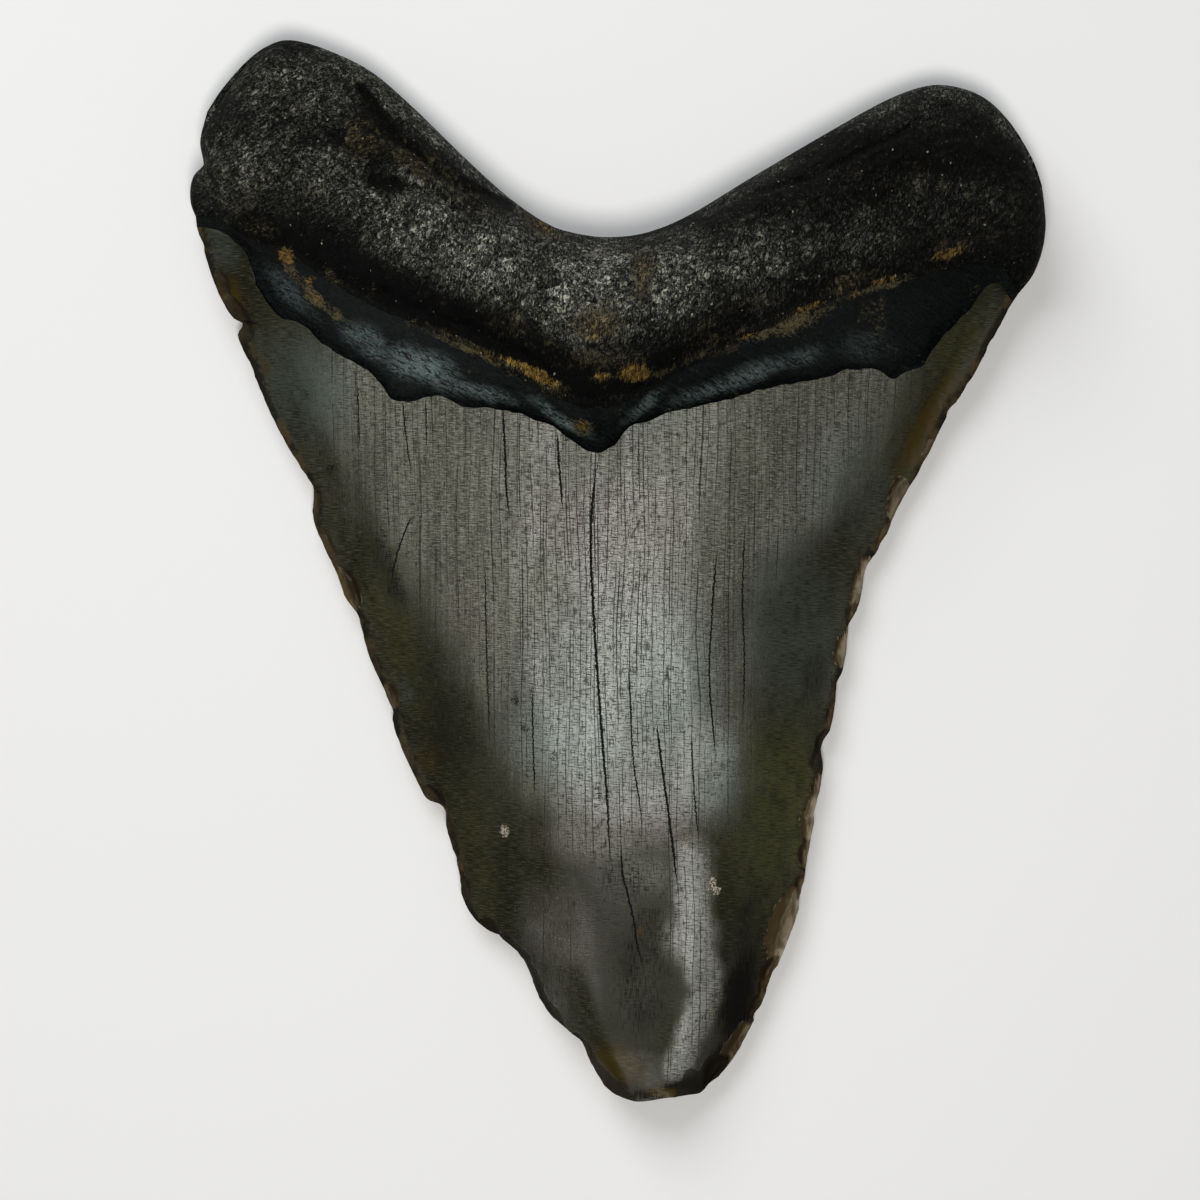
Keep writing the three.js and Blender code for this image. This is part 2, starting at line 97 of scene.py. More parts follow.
ROOT_BORDER = [
    (196, 217), (213, 219), (232, 228), (258, 243), (285, 250), (318, 276), (380, 314), (465, 352),
    (520, 384), (565, 407), (598, 415), (628, 407), (670, 383), (730, 352), (795, 322), (850, 299),
    (920, 280), (970, 267), (1000, 270), (1012, 284), (1018, 294),
]
ROOT_LEFT = [(196, 217), (191, 202), (193, 182), (205, 168), (202, 143), (209, 114)]
ROOT_RIGHT = [(1018, 294), (1033, 274), (1042, 245), (1043, 215), (1040, 188)]
ROOT_TOP = [
    (209, 114), (224, 91), (248, 64), (270, 48), (294, 43), (330, 53), (372, 74), (412, 108), (462, 157),
    (505, 197), (545, 226), (575, 237), (610, 241), (648, 236), (690, 218), (745, 184), (820, 139),
    (880, 105), (918, 90), (946, 88), (978, 98), (1006, 122), (1030, 160), (1040, 188),
]

# Relief of the crown. Sides run from -1 to 1 across it, and lengths from 0 at the tip to 1 at the bourlette.
MIDDLE_DROP = 0.3
FLANK_DROP = 0.7
FLANK_START = 0.28
SHOULDER_START = 0.75
TIP_TROUGH = {"depth": 0.55, "side": -0.08, "width": 0.3}
TIP_RIDGE = {"height": 0.5, "side": 0.4, "width": 0.2}
TIP_RELIEF = {"begins": 0.02, "full": 0.09, "fades": 0.2, "ends": 0.34}
CENTRE_FOLD = {"depth": 0.4, "width": 0.03, "begins": 0.86}

# Relief of the bourlette and the root. A pit is its middle, its radius and its depth.
ENAMEL_STEP = 0.65
STEP_INSET = 0.12
BOURLETTE_SWELL = 0.5
CREASE_RISE = 2.4
SIDE_ROUNDING = 0.1
TOP_ROUNDING = 0.36
TORUS_SPREAD = 0.25
TORUS_TOP = 0.36
CREST_FALL = {"share": 0.24, "begins": 0.25, "power": 1.6}
NOTCH_SPREAD = 0.16
ROOT_GROOVES = [
    [(345, 82), (372, 104), (386, 128), (402, 150), (445, 182), (462, 196), (512, 212)],
    [(196, 215), (240, 243), (292, 252), (340, 280), (400, 306), (470, 334), (540, 368)],
    [(640, 392), (700, 362), (760, 338), (850, 300), (960, 264)],
    [(292, 130), (350, 155), (400, 190), (475, 225)],
    [(915, 130), (880, 150), (800, 190), (720, 212), (680, 230)],
]
ROOT_GROOVE = {"depth": 0.5, "width": 1.5, "cut_depth": 0.75, "cut_width": 0.42}
ROOT_PITS = [
    ((380, 190), 1.0, 1.1), ((765, 225), 1.2, 1.2), ((750, 240), 0.9, 1.0), ((655, 372), 1.5, 0.9),
    ((555, 372), 1.3, 0.9), ((345, 235), 1.1, 0.8), ((870, 255), 1.2, 0.8), ((700, 300), 0.8, 0.6),
    ((480, 290), 0.8, 0.6),
]

# A thin raised rim where the root meets the bourlette
BORDER_RIM = {"height": 0.4, "at": 0.03, "width": 0.018}

# The labial side
LABIAL_ARC = 0.5
LABIAL_STEP = 0.5
LABIAL_STEP_WIDTH = 0.08
LABIAL_STEP_FADE = 0.45
NECK_HOLLOW = {"depth": 0.9, "spread": 0.2}
FLAT_REACH = 0.64
FLAT_START = 0.06

# Flakes broken off the cutting edges: middle, reach in millimetres, how far below the face they start,
# and how fresh the break looks, from 0 for a dark old one to 1 for a tan one
EDGE_CHIPS = [
    ((238, 321), 1.7, 1.4, 0.15), ((222, 283), 1.0, 0.6, 0.3), ((346, 589), 1.4, 0.9, 0.55),
    ((326, 547), 1.0, 0.8, 0.35), ((309, 497), 1.1, 0.6, 0.3), ((390, 694), 1.1, 0.7, 0.35),
    ((371, 662), 1.1, 0.6, 0.2), ((405, 757), 1.0, 0.6, 0.3), ((434, 806), 1.6, 1.0, 0.25),
    ((447, 838), 1.2, 0.8, 0.15), ((459, 885), 1.2, 0.8, 0.1), ((490, 938), 1.5, 1.2, 0.05),
    ((516, 962), 1.9, 1.5, 0.0), ((532, 992), 1.8, 1.5, 0.1), ((553, 1024), 1.5, 1.4, 0.1),
    ((580, 1050), 1.5, 1.2, 0.1), ((596, 1078), 1.5, 1.2, 0.2), ((620, 1098), 1.8, 1.2, 0.2),
    ((688, 1097), 2.0, 1.7, 0.0), ((712, 1082), 1.8, 1.5, 0.1), ((740, 1052), 2.0, 1.0, 0.7),
    ((757, 1016), 1.3, 0.9, 0.2), ((772, 983), 1.8, 1.0, 0.45), ((788, 930), 2.6, 1.2, 1.0),
    ((803, 893), 1.3, 0.8, 0.4), ((809, 852), 1.2, 0.7, 0.5), ((815, 820), 1.6, 0.8, 0.85),
    ((821, 790), 1.2, 0.7, 0.6), ((823, 750), 1.4, 1.3, 0.0), ((834, 718), 1.0, 0.6, 0.4),
    ((847, 645), 1.5, 0.8, 0.85), ((857, 612), 1.1, 0.7, 0.5), ((866, 578), 1.8, 1.0, 0.85),
    ((888, 538), 1.2, 0.7, 0.4), ((901, 500), 1.6, 0.8, 0.7), ((931, 452), 1.0, 0.5, 0.5),
]

# Where the colours of the tooth lie in the plan. A patch is its middle, two reaches, a turn and a strength.
# A strip is its points, its half width and a strength.
# The pale middle's sides are lines of points, and it fades out between two heights.
# The pale middle is partly the crackled enamel's lighter tone and partly painted light; the darker flanks
# beside it are partly painted shade.
PALE_LEFT = [
    (330, 380), (345, 470), (372, 520), (412, 570), (448, 620), (470, 680), (500, 720), (530, 780),
    (560, 850),
]
PALE_RIGHT = [
    (900, 380), (865, 450), (830, 510), (775, 560), (748, 610), (738, 700), (736, 770), (722, 820),
    (715, 860),
]
PALE_END = (790, 885)
# Patches of pale enamel, and of painted highlight beside the middle and on the ridge near the tip
PALE_AND_HIGHLIGHT_PATCHES = [
    (694, 860, 22, 50, 0, 0.8), (692, 935, 30, 34, 0, 1.0), (706, 750, 40, 60, 0, 1.0),
    (600, 830, 70, 40, 0, 0.7), (560, 930, 45, 62, -15, 0.5), (555, 990, 34, 44, -25, 0.42),
    (640, 870, 40, 30, 0, 0.5),
]
# Painted highlight along the ridge near the tip
RIDGE_HIGHLIGHT_STRIPS = [
    ([(688, 850), (692, 890), (694, 930), (702, 970)], 19, 1.0),
    ([(702, 970), (706, 990), (697, 1018), (686, 1045), (676, 1064)], 15, 1.0),
]
# Blue-grey tint of the enamel; in the middle of the crown these patches are a painted bluish highlight
BLUE_AND_HIGHLIGHT_PATCHES = [
    (795, 630, 50, 85, 0, 0.8), (300, 385, 45, 60, -30, 0.9), (610, 690, 85, 90, 0, 0.55),
    (580, 735, 70, 50, 10, 0.9), (850, 490, 50, 70, 0, 0.4), (400, 690, 14, 16, 0, 0.7),
    (225, 250, 20, 26, 0, 0.6), (712, 765, 26, 48, -10, 1.0), (640, 420, 60, 20, -15, 0.4),
    (660, 690, 60, 90, 0, 0.75),
]
OLIVE_PATCHES = [
    (770, 810, 55, 110, 5, 0.85), (960, 350, 25, 60, 28, 0.5), (900, 440, 45, 60, 25, 0.5),
    (400, 640, 28, 90, -15, 0.4), (470, 860, 30, 80, -10, 0.35),
]
AMBER_PATCHES = [
    (928, 425, 17, 62, 27, 0.9), (232, 302, 14, 24, -20, 0.85), (250, 355, 10, 30, -15, 0.6),
    (262, 370, 10, 18, -15, 0.5), (345, 588, 12, 14, 0, 0.6), (390, 690, 8, 14, 0, 0.5),
    (425, 760, 20, 22, 0, 0.4), (575, 860, 30, 14, 0, 0.25), (740, 1040, 12, 20, 30, 0.5),
    (640, 926, 5, 7, 0, 0.8), (681, 836, 5, 6, 0, 0.6), (300, 470, 12, 30, -20, 0.3),
    (535, 985, 10, 35, -20, 0.4), (612, 1066, 34, 30, 20, 0.75), (668, 1092, 26, 6, 0, 0.8),
    (312, 452, 22, 12, 10, 0.3),
]
# Painted highlights on the crown: its bright middle and the ridge near the tip
CROWN_PAINTED_HIGHLIGHTS = [
    (600, 735, 66, 46, 15, 0.6), (700, 765, 34, 56, -8, 1.0), (660, 650, 50, 60, 0, 0.35),
    (694, 935, 22, 30, 0, 0.8), (640, 800, 60, 30, 0, 0.5), (550, 950, 34, 54, -20, 0.35),
]
# Painted highlight strips along the ridge
CROWN_PAINTED_HIGHLIGHT_STRIPS = [
    ([(688, 860), (692, 900), (696, 940), (704, 980)], 14, 0.9),
    ([(704, 980), (697, 1010), (687, 1040), (678, 1060)], 10, 0.9),
]
# Painted shade beside the ridge, in the trough near the tip and on parts of the flanks, with the dark
# fracture and notch at the tip
CROWN_SHADES = [
    (738, 1000, 19, 62, 10, 1.0), (720, 1056, 12, 22, 25, 0.8), (640, 965, 34, 90, 4, 0.36),
    (742, 930, 14, 50, 4, 0.5), (688, 1086, 24, 9, -6, 1.0), (640, 1094, 34, 7, 6, 0.6),
    (706, 1070, 6, 12, 20, 0.9), (600, 790, 5, 18, 0, 0.4), (455, 870, 14, 60, -12, 0.5),
    (385, 560, 14, 60, -18, 0.5), (440, 720, 30, 80, -15, 0.45), (860, 420, 30, 50, 0, 0.15),
    (620, 880, 34, 40, 0, 0.3), (500, 960, 12, 40, -25, 0.5), (770, 900, 30, 60, 0, 0.25),
    (812, 700, 14, 70, 6, 0.3),
]
ROSE_PATCHES = [
    (555, 930, 50, 70, -15, 0.9), (560, 850, 50, 30, 0, 0.7), (630, 825, 70, 18, 0, 0.8),
    (470, 620, 30, 60, -10, 0.4), (600, 520, 90, 40, 0, 0.35),
]
TAN_PATCHES = [
    (335, 280, 11, 7, 30, 0.8), (262, 230, 24, 12, 25, 0.45), (370, 150, 27, 20, 20, 0.75),
    (375, 82, 24, 8, 38, 0.4), (415, 172, 36, 13, 38, 0.7), (540, 232, 32, 15, 32, 0.85),
    (228, 190, 20, 12, 0, 0.4), (322, 206, 24, 14, 20, 0.45), (465, 210, 30, 10, 38, 0.5),
    (545, 386, 30, 7, 26, 1.0), (300, 115, 20, 12, 0, 0.35), (633, 382, 17, 9, -8, 1.0),
    (603, 386, 11, 5, 0, 0.95), (600, 335, 34, 26, 0, 0.85), (640, 285, 17, 34, 8, 0.85),
    (690, 260, 34, 9, 0, 0.3), (790, 332, 38, 10, -20, 0.8), (868, 318, 18, 24, 0, 0.45),
    (945, 256, 28, 9, -12, 0.75), (990, 240, 16, 6, -10, 0.4), (722, 202, 28, 8, -32, 0.35),
    (584, 431, 10, 9, 0, 0.9), (880, 235, 16, 8, 0, 0.3), (840, 292, 40, 10, -22, 0.6),
    (720, 345, 50, 10, -20, 0.45), (700, 330, 30, 12, -20, 0.35), (520, 340, 44, 16, 20, 0.4),
    (600, 370, 60, 14, 0, 0.5), (250, 205, 30, 26, 0, 0.35), (760, 305, 50, 12, -18, 0.35),
    (970, 215, 40, 20, -20, 0.3), (900, 190, 50, 20, 0, 0.22), (460, 190, 40, 9, 38, 0.5),
    (430, 165, 60, 8, 36, 0.4), (500, 225, 30, 8, 30, 0.45), (770, 175, 60, 8, -30, 0.3),
    (590, 262, 60, 8, 0, 0.35),
]
GOLD_PATCHES = [
    (633, 382, 15, 9, -12, 1.0), (604, 386, 9, 5, 0, 0.9), (542, 384, 26, 6, 26, 0.9),
    (287, 260, 11, 9, 40, 0.9), (313, 283, 8, 7, 0, 0.6), (800, 318, 26, 5, -22, 0.6),
    (945, 258, 24, 5, -14, 0.7), (598, 345, 16, 10, 0, 0.4), (548, 234, 22, 8, 32, 0.5),
    (376, 146, 12, 8, 20, 0.35), (740, 345, 16, 4, -20, 0.5), (850, 300, 12, 5, -20, 0.5),
    (583, 430, 7, 6, 0, 0.8), (520, 372, 24, 5, 26, 0.7), (880, 288, 20, 5, -16, 0.6),
]
TAN_STRIPS = [
    ([(278, 250), (292, 272), (315, 300), (342, 322)], 6, 0.7),
    ([(415, 330), (450, 345), (490, 364), (530, 384), (562, 396)], 5, 0.7),
    ([(655, 382), (700, 364), (760, 342), (820, 318), (850, 302), (900, 284), (950, 266), (975, 256)],
     4, 0.6),
]
# Grey of the bone, lighter along the lobes and the torus: partly the bone's own grey, partly painted light
# where the crest faces the light
GREY_AND_LIT_CREST_PATCHES = [
    (300, 100, 60, 42, 0, 0.45), (255, 180, 55, 45, 0, 0.5), (340, 190, 60, 32, 20, 0.6),
    (420, 232, 70, 40, 28, 0.8), (500, 275, 65, 45, 20, 0.9), (590, 300, 65, 60, 0, 1.0),
    (665, 290, 60, 45, -10, 0.85), (750, 272, 60, 36, -20, 0.55), (850, 250, 60, 26, -15, 0.32),
    (560, 250, 55, 14, 0, 0.5), (910, 120, 60, 26, -20, 0.12), (955, 200, 60, 45, 0, 0.12),
]
# Painted highlight along the upper bevels of the lobes
PAINTED_BEVEL_HIGHLIGHT_STRIPS = [
    ([(330, 58), (400, 108), (460, 158), (520, 208)], 13, 0.45),
    ([(700, 214), (800, 156), (880, 110), (940, 94), (990, 112), (1030, 165)], 11, 0.3),
]
# Painted shade under the root's overhang above the bourlette, along its grooves and in a pit
PAINTED_SHADE_STRIPS = [
    ([(250, 236), (330, 262), (400, 302), (470, 332), (540, 366), (590, 392)], 18, 1.0),
    ([(365, 95), (400, 145), (445, 180), (510, 212)], 6, 0.9),
    ([(800, 150), (900, 160), (1000, 170)], 22, 0.7),
    ([(600, 395), (660, 375), (720, 350)], 12, 0.8),
    ([(380, 190), (400, 196)], 10, 0.8),
]
# Painted sheen on the bourlette, where it would catch the light
BOURLETTE_PAINTED_SHEEN = [
    (425, 372, 42, 15, 24, 1.0), (480, 396, 40, 6, 18, 0.6), (372, 345, 32, 11, 36, 0.6),
    (735, 384, 70, 9, -20, 0.55), (560, 422, 34, 6, 30, 0.8), (640, 414, 24, 6, -35, 0.7),
    (290, 292, 34, 9, 42, 0.3), (790, 366, 30, 8, -15, 0.4), (860, 350, 30, 14, 0, 0.2),
]

# The lean of each cutting edge from the vertical in degrees, and how long and wide its chips are
TIP_X = 640
LEFT_EDGE_TURN = 24
RIGHT_EDGE_TURN = -14
CHIP_LENGTHENING = 2.0
CHIP_REACH = 0.84

# Long cracks down the crown: points, half width in millimetres
LONG_CRACKS = [
    ([(603, 450), (593, 500), (591, 545), (593, 600), (596, 650), (601, 722), (607, 797), (610, 850),
      (617, 885)], 0.130),
    ([(621, 838), (622, 866), (627, 890), (633, 915), (637, 940), (645, 972)], 0.078),
    ([(655, 715), (662, 770), (669, 820), (674, 860), (677, 895)], 0.117),
    ([(628, 660), (630, 700), (633, 760), (639, 800), (642, 835)], 0.072),
    ([(505, 410), (507, 450), (509, 500), (513, 525)], 0.104),
    ([(558, 434), (561, 480), (564, 515)], 0.104),
    ([(406, 402), (409, 440), (414, 475)], 0.072),
    ([(429, 403), (430, 450)], 0.065),
    ([(716, 545), (713, 575), (710, 620), (708, 672), (712, 730), (717, 775)], 0.092),
    ([(743, 520), (741, 600), (743, 660), (741, 730)], 0.072),
    ([(690, 730), (694, 800), (698, 840)], 0.072),
    ([(533, 680), (534, 740), (536, 800)], 0.072),
    ([(487, 560), (488, 640), (491, 750)], 0.065),
    ([(360, 385), (361, 450)], 0.065),
    ([(414, 515), (405, 535), (396, 560), (391, 585)], 0.092),
]

# Mesh density of the fine tooth
TIP_ROWS = [0, 0.002, 0.005, 0.009]
CROWN_ROWS = 236
BOURLETTE_ROWS = 26
ROOT_ROWS = 84
ROOT_ROW_CROWDING = 1.25
TIP_COLUMNS = 100
BASE_COLUMNS = 250
UNDER_SHARE = 0.2
SHARP_ANGLE = 50


# Shapes of numbers

def smooth(start, end, value):
    t = np.clip((value - start) / (end - start), 0, 1)
    return t * t * (3 - 2 * t)


def smoother(start, end, value):
    """Like smooth, with its curvature also even at both ends."""
    t = np.clip((value - start) / (end - start), 0, 1)
    return t ** 3 * (t * (6 * t - 15) + 10)


def bump(value, middle, width):
    return np.exp(-((value - middle) / width) ** 2)


def mix(a, b, t):
    return a + (b - a) * t


def lattice_value(i, j, seed):
    wave = np.sin(i * 127.1 + j * 311.7 + seed * 74.7) * 43758.5453
    return 2 * (wave - np.floor(wave)) - 1


def noise(x, y, seed=0):
    i = np.floor(x)
    j = np.floor(y)
    tx = smooth(0, 1, x - i)
    ty = smooth(0, 1, y - j)
    low = mix(lattice_value(i, j, seed), lattice_value(i + 1, j, seed), tx)
    high = mix(lattice_value(i, j + 1, seed), lattice_value(i + 1, j + 1, seed), tx)
    return mix(low, high, ty)


def rough(x, y, octaves, seed):
    total = 0
    for k in range(octaves):
        turn = 0.6 * k
        rx = x * math.cos(turn) - y * math.sin(turn)
        ry = x * math.sin(turn) + y * math.cos(turn)
        total = total + noise(rx * 2 ** k, ry * 2 ** k, seed + 9 * k) / 2 ** k
    return total


# Places and curves of the plan

def place(point):
    return ((point[0] - PLAN_MIDDLE_X) * PLAN_SCALE, (PLAN_MIDDLE_Y - point[1]) * PLAN_SCALE)


class Curve:
    """A smooth curve through plan points, read by its share of length."""

    STEPS = 40

    def __init__(self, points):
        path = np.array([place(p) for p in points])
        ends = np.vstack([path[:1], path, path[-1:]])
        t = np.linspace(0, 1, self.STEPS, endpoint=False)[:, None]
        pieces = []
        for i in range(len(path) - 1):
            before, here, after, beyond = ends[i:i + 4]
            slope_in = (after - before) / 2
            slope_out = (beyond - here) / 2
            cubic = 2 * here - 2 * after + slope_in + slope_out
            square = 3 * after - 3 * here - 2 * slope_in - slope_out
            pieces.append(cubic * t ** 3 + square * t ** 2 + slope_in * t + here)
        pieces.append(path[-1:])
        self.line = np.vstack(pieces)
        steps = np.linalg.norm(np.diff(self.line, axis=0), axis=1)
        self.length = np.concatenate([[0], np.cumsum(steps)])
        self.share = self.length / self.length[-1]

    def at(self, share):
        x = np.interp(share, self.share, self.line[:, 0])
        y = np.interp(share, self.share, self.line[:, 1])
        return np.stack([x, y], axis=-1)


class WornCurve(Curve):
    """A cutting edge, nibbled inward by small flakes and worn serrations."""

    def __init__(self, points, inward, seed):
        super().__init__(points)
        along = self.length
        inside = smooth(0, 1.5, along) * smooth(0, 1.5, along[-1] - along)
        nibbles = np.clip(noise(along / 1.7, along * 0, seed) - 0.1, 0, 1) * 0.32
        teeth = 0.07 * np.abs(noise(along / 0.62, along * 0, seed + 5))
        self.line[:, 0] += inward * (nibbles + teeth) * inside


def nibbled(curve, amount, size, seed):
    """The curve with small bays along it, none at its ends."""
    inside = smooth(0, 3, curve.length) * smooth(0, 3, curve.length[-1] - curve.length)
    curve.line[:, 1] += amount * rough(curve.length / size, curve.length * 0, 3, seed) * inside
    return curve


left_edge = WornCurve(LEFT_EDGE, 1, 3)
right_edge = WornCurve(RIGHT_EDGE, -1, 8)
tip_edge = Curve(TIP_EDGE)
enamel_border = nibbled(Curve(ENAMEL_BORDER), 0.16, 1.3, 12)
root_border = nibbled(Curve(ROOT_BORDER), 0.12, 1.6, 14)
root_left = Curve(ROOT_LEFT)
root_right = Curve(ROOT_RIGHT)
root_top = Curve(ROOT_TOP)


def inside_patch(bottom, top, left, right, u, v):
    share = u[:, None]
    across = mix(bottom.at(u), top.at(u), v)
    along = mix(left.at(v), right.at(v), share)
    lower = mix(bottom.at(0), bottom.at(1), share)
    upper = mix(top.at(0), top.at(1), share)
    return across + along - mix(lower, upper, v)


def crown_place(u, v):
    return inside_patch(tip_edge, enamel_border, left_edge, right_edge, u, v)


def bourlette_place(u, w):
    return mix(enamel_border.at(u), root_border.at(u), w)


def root_place(u, w):
    return inside_patch(root_border, root_top, root_left, root_right, u, w)


# Fields over the tooth

def value_along(values, t):
    values = np.array(values, float)
    last = len(values) - 1
    position = np.clip(t, 0, last - 1e-6)
    i = np.floor(position).astype(int)
    f = position - i
    slope_in = (values[i + 1] - values[np.maximum(i - 1, 0)]) / 2
    slope_out = (values[np.minimum(i + 2, last)] - values[i]) / 2
    curve = (2 * f - 3) * f * f
    ends = values[i] * (1 + curve) - values[i + 1] * curve
    return ends + slope_in * f * (1 - f) ** 2 - slope_out * f * f * (1 - f)


def steps_down(p):
    return (PLAN_MIDDLE_Y - p[:, 1] / PLAN_SCALE - FIRST_EDGE_STEP) / EDGE_STEP


def sideways(p):
    plan_x = PLAN_MIDDLE_X + p[:, 0] / PLAN_SCALE
    left = value_along(WHOLE_LEFT_EDGE, steps_down(p))
    right = value_along(WHOLE_RIGHT_EDGE, steps_down(p))
    return (2 * plan_x - left - right) / (right - left)


def distance_to_point(p, at):
    return np.hypot(p[:, 0] - place(at)[0], p[:, 1] - place(at)[1])


def distance_to_path(p, points):
    path = np.array([place(q) for q in points])
    nearest = np.full(len(p), np.inf)
    for start, end in zip(path[:-1], path[1:]):
        step = end - start
        t = np.clip((p - start) @ step / (step @ step), 0, 1)
        nearest = np.minimum(nearest, np.linalg.norm(p - start - t[:, None] * step, axis=1))
    return nearest


def hollows(p, pits):
    wobble = 1 + 0.25 * noise(p[:, 0] * 0.9, p[:, 1] * 0.9, 21)
    return sum(depth * bump(distance_to_point(p, at) * wobble, 0, radius) for at, radius, depth in pits)


def crown_section(side):
    out = np.minimum(1, np.abs(side))
    return 1 - MIDDLE_DROP * out * out - FLANK_DROP * smoother(FLANK_START, 1, out)


def crown_edge_height(v):
    return mix(CUTTING_EDGE_HEIGHT, SHOULDER_EDGE_HEIGHT, smooth(SHOULDER_START, 1, v))


def lens_height(p, edge):
    return edge + (value_along(CROWN_HEIGHTS, steps_down(p)) - edge) * crown_section(sideways(p))


def flake_scars(p, height):
    """The face with its edge flakes taken off, how much each place lost, and how fresh it looks."""
    cut = height.copy()
    fresh = np.zeros(len(p))
    for number, (middle, reach, drop, freshness) in enumerate(EDGE_CHIPS):
        x, y = place(middle)
        turn = math.radians(LEFT_EDGE_TURN if middle[0] < TIP_X else RIGHT_EDGE_TURN)
        dx, dy = p[:, 0] - x, y - p[:, 1]
        along = dx * math.sin(turn) + dy * math.cos(turn)
        across = dx * math.cos(turn) - dy * math.sin(turn)
        distance = np.hypot(along / CHIP_LENGTHENING, across)
        wobble = 0.24 * rough(p[:, 0] * 0.5, p[:, 1] * 0.5, 3, 30 + number)
        share = distance / (CHIP_REACH * reach) + wobble
        ripple = 0.015 * np.cos(distance * 6.5)
        face = height - drop * np.clip(1 - share, 0, 1) ** 0.6 - ripple * (share < 1)
        taken = (share < 1) & (face < cut)
        cut = np.where(taken, face, cut)
        fresh = np.where(taken, freshness, fresh)
    return cut, height - cut, fresh


def crown_relief(p):
    waves = 0.10 * noise(p[:, 0] / 7, p[:, 1] / 11, 41) + 0.05 * noise(p[:, 0] / 2.6, p[:, 1] / 6, 42)
    strips = 0.018 * noise(p[:, 0] / 0.9, p[:, 1] / 14, 43)
    return waves + strips


def crown_top(u, v):
    p = crown_place(u, v)
    edge = crown_edge_height(v)
    side = sideways(p)
    near_tip = smooth(TIP_RELIEF["begins"], TIP_RELIEF["full"], v)
    near_tip = near_tip * (1 - smooth(TIP_RELIEF["fades"], TIP_RELIEF["ends"], v))
    trough = TIP_TROUGH["depth"] * bump(side, TIP_TROUGH["side"], TIP_TROUGH["width"]) * near_tip
    ridge = TIP_RIDGE["height"] * bump(side, TIP_RIDGE["side"], TIP_RIDGE["width"]) * near_tip
    fold = CENTRE_FOLD["depth"] * bump(u, 0.5, CENTRE_FOLD["width"]) * smooth(CENTRE_FOLD["begins"], 1, v)
    relief = crown_relief(p) * smooth(0, 0.05, 1 - np.abs(side))
    whole = lens_height(p, edge) - trough + ridge - fold + relief
    chipped, lost, fresh = flake_scars(p, whole)
    floor = crown_under(u, v) + THINNEST_WALL
    height = np.maximum(chipped, floor)
    return on_outline(height, edge, v == 0), {"lost": lost, "fresh": fresh, "zone": 0.0}


def on_outline(height, edge, whole_row=False):
    """The height, brought down to the outline where both faces meet."""
    edges = np.broadcast_to(edge, height.shape)
    if whole_row:
        return edges.copy()
    return np.concatenate([edges[:1], height[1:-1], edges[-1:]])


def neck_share(u):
    return crown_section(2 * u - 1)


def crease_height(u):
    return lens_height(root_border.at(u), SHOULDER_EDGE_HEIGHT) + CREASE_RISE * neck_share(u)


def bourlette_top(u, w):
    p = bourlette_place(u, w)
    inside = smooth(0, STEP_INSET, np.minimum(u, 1 - u))
    step = ENAMEL_STEP * inside * smooth(0, 0.04, w) * (1 - smooth(0.35, 0.8, w))
    swell = BOURLETTE_SWELL * math.sin(math.pi * w) * neck_share(u)
    folds = 0.22 * noise(p[:, 0] / 2.6, p[:, 1] / 1.5, 51) + 0.09 * noise(p[:, 0] / 0.9, p[:, 1] / 0.8, 52)
    centre = 0.45 * bump(distance_to_path(p, [(600, 412), (604, 446)]), 0, 0.6)
    nodule = 0.5 * bump(distance_to_point(p, (585, 431)), 0, 1.1)
    start = crown_top(u, 1)[0]
    relief = (folds * inside - centre + nodule) * math.sin(math.pi * w)
    height = mix(start, crease_height(u), w) + swell - step + relief
    return on_outline(height, SHOULDER_EDGE_HEIGHT), {"zone": 1.0}


def root_edge_height(u, w):
    side = mix(SHOULDER_EDGE_HEIGHT, ROOT_EDGE_HEIGHT, smooth(0, 0.6, w))
    return side + (NOTCH_EDGE_HEIGHT - ROOT_EDGE_HEIGHT) * bump(u, 0.5, NOTCH_SPREAD) * w


def root_rounding(u, w):
    from_side = 1 - np.clip(np.minimum(u, 1 - u) / SIDE_ROUNDING, 0, 1)
    from_top = 1 - np.clip((1 - w) / TOP_ROUNDING, 0, 1)
    depth = np.clip(1 - np.hypot(from_side, from_top), 0, 1)
    return np.sqrt(1 - (1 - depth) ** 2)


def root_relief(p, u, w):
    """Lumps, grain along the lobes, pores and grooves of the root."""
    lumps = 0.5 * noise(p[:, 0] / 5.2, p[:, 1] / 5.2, 61) + 0.32 * noise(p[:, 0] / 2.3, p[:, 1] / 2.3, 62)
    lobe = np.where(p[:, 0] < 0, -0.62, 0.5)
    along = p[:, 0] * np.cos(lobe) + p[:, 1] * np.sin(lobe)
    across = p[:, 1] * np.cos(lobe) - p[:, 0] * np.sin(lobe)
    warp = 0.5 * noise(along / 3.1, across / 3.1, 63)
    grain = 0.24 * noise(along / 1.7, across / 0.7 + warp, 64)
    grain = grain + 0.12 * noise(along / 0.9, across / 0.45, 65)
    pores = -0.5 * np.clip(noise(p[:, 0] / 0.85, p[:, 1] / 0.8, 66) - 0.42, 0, 1)
    grooves = 0
    for number, path in enumerate(ROOT_GROOVES):
        strayed = p + 0.35 * np.stack([noise(p[:, 0] / 1.4, p[:, 1] / 1.4, 70 + number)] * 2, axis=-1)
        distance = distance_to_path(strayed, path)
        grooves = grooves + ROOT_GROOVE["depth"] * bump(distance, 0, ROOT_GROOVE["width"])
        grooves = grooves + ROOT_GROOVE["cut_depth"] * bump(distance, 0, ROOT_GROOVE["cut_width"])
    return lumps + grain + pores - grooves - hollows(p, ROOT_PITS)


